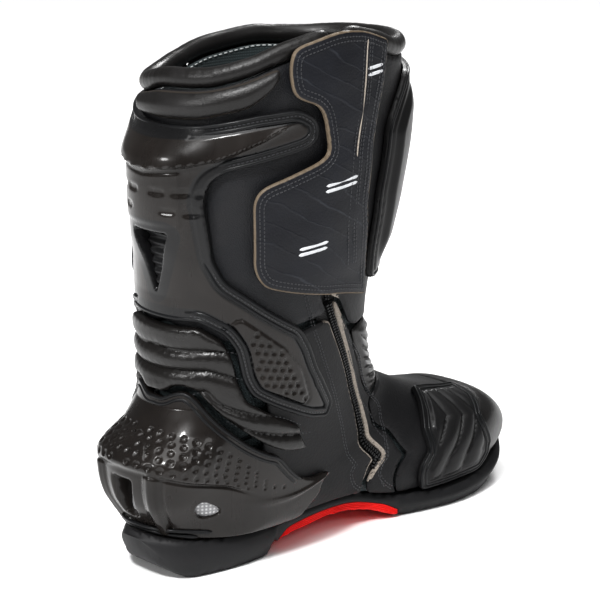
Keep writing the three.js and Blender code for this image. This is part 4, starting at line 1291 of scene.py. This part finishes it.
ZIP_TOP = float(zip_line(-18))
CALF_LATERAL = 1.45
calf_outline = [*along_rim(ZIP_TOP + ZIP_GAP, CALF_LATERAL, LEATHER_DROP), (CALF_LATERAL, 142),
                (1.25, 142), (1, 128), (0.75, 142), *along_zip(141, -10, ZIP_GAP)]
panel("calf_leather_panel", calf_outline, LEATHER, "leather_grained", "shaft", "calf_leather", cell=1.9,
      raw=near_zip(1.0, NO_RIM))
panel("shin_leather_panel", [
    *along_rim(CALF_LATERAL - 2 + SEAM, ZIP_TOP - ZIP_GAP, LEATHER_DROP), *along_zip(-10, 132, -ZIP_GAP),
    (0.44, 135), (0.372, 158), (0.33, 163), (0.15, 166), (0, 167), (-0.31, 163), (-0.45, 152),
    (CALF_LATERAL - 2 + SEAM, 142)], LEATHER, "leather_matte", "shaft", "shin_leather", cell=1.9,
    raw=near_zip(2.2, NO_RIM))
panel("shaft_lining_knit", [
    *along_rim(ZIP_TOP + LINING_SLIT, 2 + ZIP_TOP - LINING_SLIT, LEATHER_DROP),
    *[(u + 2, s) for u, s in along_zip(-10, 149, -LINING_SLIT)],
    (2, 149), (1.5, 149), (1, 149), *along_zip(149, -10, LINING_SLIT)], LINING, "lining_fabric", "shaft",
    "shaft_lining", cell=2.6)
panel("zip_gusset_knit", tape_outline(-14, 148, LINING_SLIT - SEAM), GUSSET, "zip_tape", "shaft",
      "zip_gusset", cell=2.0, sunk=True)


def collar():
    """The padded roll round the opening, with soft puckers, and rounded where it ends at the zip."""
    start, end, steps, sides = ZIP_TOP + ZIP_GAP + 0.002, 2 + ZIP_TOP - ZIP_GAP - 0.002, 420, 28
    u = np.linspace(start, end, steps)
    s = rim(u) + 5
    middle = place(u, s, -3.0)
    up = outward(u, s)
    down = unit(surface(u, s + 1) - surface(u, s - 1))
    ends = np.minimum(np.arange(steps), np.arange(steps)[::-1]) / 7.0
    close = np.sqrt(np.clip(1 - (1 - np.clip(ends, 0, 1)) ** 2, 0.01, 1))
    pucker = 0.05 * np.sin(u * 260) + 0.06 * np.sin(u * 96 + 1.3)
    rings = []
    for k in range(sides):
        t = 2 * math.pi * k / sides
        radius = (5.3 + pucker * (0.5 + 0.5 * math.cos(t))) * close
        out = up * (radius * math.cos(t))[:, None]
        rings.append(middle + out + down * (radius * math.sin(t) * 1.08)[:, None])
    rings = np.stack(rings, 1).reshape(-1, 3)
    faces = []
    for i in range(steps - 1):
        here, after = i * sides, (i + 1) * sides
        for k in range(sides):
            m = (k + 1) % sides
            faces.append([here + k, after + k, after + m, here + m])
    faces += [list(range(sides)), [(steps - 1) * sides + k for k in range(sides)][::-1]]
    obj = new_object("collar_roll_padded", rings, faces, "leather_smooth", sharp=60)
    attach(obj, "shaft", "collar_roll")


collar()

pad_outline = [*along_rim(0.68, 1.12, LEATHER_DROP + 0.5), (1.11, 7), (1, 7),
               (0.88, 6), (0.755, 1), (0.715, -4), (0.68, -11)]
pad, _ = panel("calf_pad_padded", pad_outline, (1.0, 6.8), "leather_smooth", "shaft", "calf_pad", cell=1.1,
               edge=0.4, radius=4, relief=lambda u, s, gap: puff(gap, 9.0, 5.0) + 1.2, raw=0.7)

# back guard
VENT_WINDOW = [(0.945, 73), (1.055, 73), (1, 110)]
guard_outline = both_sides([
    (1, 10), (0.88, 9), (0.73, 5), (0.63, 5), (0.585, 13), (0.578, 24), (0.6, 30), (0.805, 37),
    (0.845, 42), (0.86, 53), (0.845, 70), (0.83, 88), (0.79, 102), (0.72, 113), (0.565, 141),
    (0.53, 156), (0.45, 208), (0.465, 220), (0.57, 200), (0.69, 179), (0.72, 167), (0.745, 146),
    (0.78, 135), (0.855, 126), (1, 126)], 1)
chin_height = curve([(10, 0), (30, 10), (78, 7), (96, 2), (112, 0)])
ridge_line = curve([(0.60, 12), (0.655, 14), (0.725, 20), (0.82, 28), (0.905, 32), (1.0, 35)])
SLOTS = [(1.145, 49, 0.018, 1.9), (1.09, 48, 0.018, 1.9), (1.035, 48, 0.018, 1.9), (1.115, 60, 0.018, 1.9),
         (1.06, 59, 0.018, 1.9)]


def guard_relief(u, s, gap):
    m = fold(u)
    from_spine = (1 - m) / 0.22
    spine = np.where(from_spine < 1, (1 + np.cos(math.pi * np.minimum(from_spine, 1))) / 2, 0)
    base = chin_height(s)[..., 0] * spine
    ridge = ridge_line(np.maximum(m, 0.6))[..., 0]
    proud = 4.0 * np.clip((m - 0.615) / 0.10, 0, 1)
    above = np.clip((s - 10) / np.maximum(ridge - 10, 1), 0, 1) ** 0.8
    fall = np.exp(-np.clip(s - ridge, 0, None) / 1.6)
    border = step_up(gap, 5.0, 7.5)
    height = base + proud * np.where(s < ridge, above, fall) * border
    height = height - 0.5 * np.exp(-((gap - 6.3) / 0.6) ** 2) * (m < 0.9)
    spine_plate = step_up(m, 0.905, 0.915) * step_up(s, ridge + 3, ridge + 5) * step_up(-s, -70, -66)
    height = height + 1.0 * spine_plate
    for at_u, at_s, half_u, half_s in SLOTS:
        for centre in (at_u, 2 - at_u):
            box = (((u - centre) / half_u) ** 4 + ((s - at_s) / half_s) ** 4) ** 0.25
            height = height - 0.9 * step_up(-box, -1.3, -0.7)
    return height + ankle_insert(u, s)


INSERT_FIELD = [(0.80, 133), (0.765, 128), (0.73, 140), (0.705, 150), (0.69, 166), (0.66, 178),
                (0.60, 186), (0.535, 199), (0.515, 196), (0.545, 172), (0.60, 152), (0.68, 135), (0.74, 124)]


def insert_spots():
    spots = []
    loop = dense(rounded(INSERT_FIELD, 4), 1.0)
    for row in range(16):
        for column in range(30):
            a = 6.3 * column + (3.1 if row % 2 else 0.0)
            b = 5.6 * row
            u = 0.50 + (a * 0.93 - b * 0.12) / 258.0
            s = 125 + b * 1.0 + a * -0.28 + 22
            if inside([loop], np.array([u]), np.array([s]))[0]:
                gap = distance_to([loop], np.array([u]), np.array([s]), 4.6)[0]
                if gap > 3.2 and u < 0.70:
                    spots += [(u, s, 1.9), (2 - u, s, 1.9)]
    return spots


ANKLE_SPOTS = insert_spots()
insert_loop = dense(rounded(INSERT_FIELD, 5), 1.0)


def ankle_insert(u, s):
    m = fold(u)
    line = distance_to([insert_loop], m, s, 4.6)
    within = inside([insert_loop], m, s)
    signed = np.where(within, line, -line)
    groove = -0.8 * np.exp(-(line / 0.8) ** 2)
    raised = 0.7 * step_up(signed, 0.6, 2.2)
    return groove + raised + dimples(u, s, ANKLE_SPOTS, 1.2)


GUARD_BORDER = 7.5
_, guard_loops = panel(
    "back_guard_moulded", guard_outline, SHELL, "shell_gloss", "shaft", "back_guard", cell=0.9, radius=5,
    edge=1.4, relief=guard_relief, holes=[VENT_WINDOW], border=GUARD_BORDER)
panel("guard_vent_louvre", smaller(VENT_WINDOW, 0.95), (1.0, 3.2), "zip_black", "shaft", "guard_vent_insert",
      cell=0.8, relief=lambda u, s, gap: 0.8 * np.sin(s * 1.1))


def plate_relief(u, s, gap):
    block = 3.4 * step_up(gap, 7, 12) * step_up(s, 10, 32) * step_up(-s, -128, -104)
    return block + 0.6 * step_up(gap, 4.2, 5.2) - 0.8 * np.exp(-((gap - 3.6) / 0.8) ** 2)


plate_outline = both_sides([
    (0, 2), (0.26, 8), (0.33, 20), (0.375, 34), (0.38, 76), (0.355, 108), (0.325, 132), (0, 140)], 0)
_, plate_loops = panel("shin_plate_moulded", plate_outline, SHELL, "shell_satin", "shaft", "shin_plate",
                       cell=1.2, radius=7, edge=1.4, relief=plate_relief)
PATCH = [(0.6, 58), (0.7, 58), (0.7, 100), (0.6, 100)]
panel("loop_tape", PATCH, LOOP_TAPE, "zip_tape", "shaft", "loop_patch", radius=3, edge=0.3)

for name, side in (("rear", 1), ("front", -1)):
    outline = [*along_zip(-12, 132, side * ZIP_SPLIT), *along_zip(132, -12, side * ZIP_TAPE_HALF)]
    panel(f"zip_tape_{name}_woven", outline, ZIP_TAPE, "zip_tape", "shaft", f"zip_tape_{name}", cell=1.6,
          sunk=True)
    zip_teeth(f"zip_teeth_{name}_moulded", -12, 132, (side,), "shaft", f"zip_teeth_{name}")

# ---------- closure flap ----------

flap_outline = [
    (0.65, -27), (0.66, -21), (0.66, -12), (0.65, -3), (0.625, 1), (0.59, 5), (0.573, 12),
    (0.555, 34), (0.57, 39), (0.715, 48), (0.735, 55), (0.72, 96), (0.69, 107), (0.64, 112),
    (0.375, 136, 3), (0.405, 110), (0.445, 74), (0.45, 40), (0.44, 20), (0.41, -20, 3), (0.52, -33, 12)]


def flap_relief(u, s, gap):
    wave = 0.35 * np.sin(s * 0.16 + u * 24) * np.sin(u * 31 - s * 0.05)
    return wave * step_up(gap, 0, 12)


_, flap_loops = panel(
    "closure_flap_leather", flap_outline, FLAP, "leather_flap", "closure_flap", "closure_flap", cell=1.2,
    radius=6, edge=0.9, relief=flap_relief, raw=0.9)
panel("hook_tape", PATCH, HOOK_TAPE, "zip_tape", "closure_flap", "hook_patch", radius=3, edge=0.3)

# ---------- seams, beads and stitches ----------


def ring_bead(body, loop, distance, lift, width=2.4, rise=1.1, keep=None):
    path = inset(loop, distance, lift)
    if keep is None:
        sweep(beads[body], path, lift, width, rise, closed=True)
        return path
    for run in runs(path, keep):
        sweep(beads[body], run, lift, width, rise, taper=4)
    return path


def runs(path, keep):
    """The unbroken stretches of a closed path where keep(u, s) holds."""
    mask = keep(path[:, 0], path[:, 1])
    if mask.all():
        return [path]
    start = int(np.argmin(mask))
    path, mask = np.roll(path, -start, axis=0), np.roll(mask, -start)
    edges = np.flatnonzero(np.diff(np.concatenate([[0], mask.astype(int), [0]])))
    return [path[a:b] for a, b in zip(edges[::2], edges[1::2]) if b - a > 5]


def low_border(u, s):
    """Where the guard's border lies flat, away from the spine."""
    m = fold(u)
    return ~((m > 0.885) & (s < 124) & (s > 40))


ring_bead("shaft", guard_loops[0], 1.5, 4.2, keep=low_border)
ring_bead("shaft", guard_loops[0], 5.4, 4.4, keep=low_border)
for run in runs(inset(guard_loops[0], 3.3, 4.4), low_border):
    stitch(stitches_dark["shaft"], run, 4.55)


def heel_top(u, s):
    return (s < 262) & (fold(u) > 0.5)


ring_bead("foot", heel_loops[0], 1.3, lambda u, s: heel_face(u, s) - 0.4, 2.2, 1.0, keep=heel_top)
ring_bead("foot", heel_loops[0], 4.4, lambda u, s: heel_face(u, s) - 0.3, 2.0, 0.9, keep=heel_top)
ring_bead("foot", shift_loops[0], 1.3, 3.3, 2.2, 1.0)
ring_bead("foot", shift_loops[0], 4.3, 3.4, 2.0, 0.9)
ring_bead("shaft", plate_loops[0], 1.6, 4.2, 2.2, 0.9)

for distance in (3.2, 5.6):
    stitch(stitches_dark["closure_flap"], inset(flap_loops[0], distance, 7.4), 7.45, pitch=2.2, length=1.6,
           radius=0.36, closed=True)

quarter_line = smooth_path([
    (0.555, 119), (0.485, 165), (0.405, 238), (0.43, 275), (0.505, 307), (0.595, 328)])
for amount in (-0.9, 0.9):
    line = shifted(quarter_line, amount)
    stitch(stitches_dark["shaft"], line[line[:, 1] < 146], 0.0)
    stitch(stitches_dark["ankle"], line[line[:, 1] > 150], 0.0)
front_line = smooth_path([(0.372, 170), (0.295, 195), (0.26, 259), (0.33, 290), (0.46, 317), (0.615, 346)])
facing_line = smooth_path([(0.37, 180), (0.318, 215), (0.31, 259), (0.385, 300), (0.50, 326), (0.60, 341)])
for amount in (-0.9, 0.9):
    stitch(stitches_dark["ankle"], shifted(front_line, amount), 0.0)
stitch(stitches_dark["ankle"], facing_line, 0.0)
for line in bellows_lines:
    stitch(stitches_dark["ankle"], line, 2.9, pitch=2.6)

strip = smooth_path([(0.478, -24), (0.486, 10), (0.494, 44), (0.488, 80), (0.465, 108)])
sweep(raw_edges["closure_flap"], strip[:int(len(strip) * 0.52)], 7.5, 0.8, 0.25, taper=2)
for amount in (-2.2, 2.2, 4.2):
    stitch(stitches_dark["closure_flap"], shifted(strip, amount), 7.4)

collar_u = np.linspace(0.60, 2.44, 300)
collar_line = np.column_stack([collar_u, rim(collar_u) + 11.5])
lining_stitches = Batch()
stitch(lining_stitches, collar_line, -9.2, pitch=4.2, length=2.4, radius=0.45)
lining_stitches.make("collar_stitches", "thread_light", "shaft", "lining_fabric")

# plain printed bars on the flap
marks = Batch()
for at_u, at_s, half in ((0.525, 56, 8.5), (0.575, 90, 8.5), (0.455, -6, 5.0)):
    for shift in (-1.7, 1.7):
        bar = smooth_path([(at_u - part * half / MM_PER_U, at_s + shift) for part in (-1.0, 1.0)])
        sweep(marks, bar, 7.35, 1.9, 0.25, taper=2, sink=0.3)
marks.make("flap_plain_bars", "mark", "closure_flap", "leather_flap")

for body, batch in stitches_dark.items():
    if batch.count:
        batch.make(f"stitches_{body}", "thread", body, "leather_matte")
for body, batch in beads.items():
    batch.make(f"beads_{body}", "bead", body, "shell_satin")
for body, batch in raw_edges.items():
    if batch.count:
        batch.make(f"raw_edges_{body}", "raw_edge", body, "leather_flap")

# ---------- carried-over CAD nodes ----------

CARRIED = {
    "shank": "steel", "insole_board": "board", "footbed": "foam", "foot_lining": "lining_fabric",
    "heel_counter": "board", "toe_puff": "board", "slider_screw_rear": "steel", "slider_screw_front": "steel",
    "zip_slider": "steel", "zip_pull": "steel",
}
for node, material in CARRIED.items():
    for entry in NODES[node].material_slots:
        entry.material = MATERIALS[material]

bpy.context.view_layer.update()
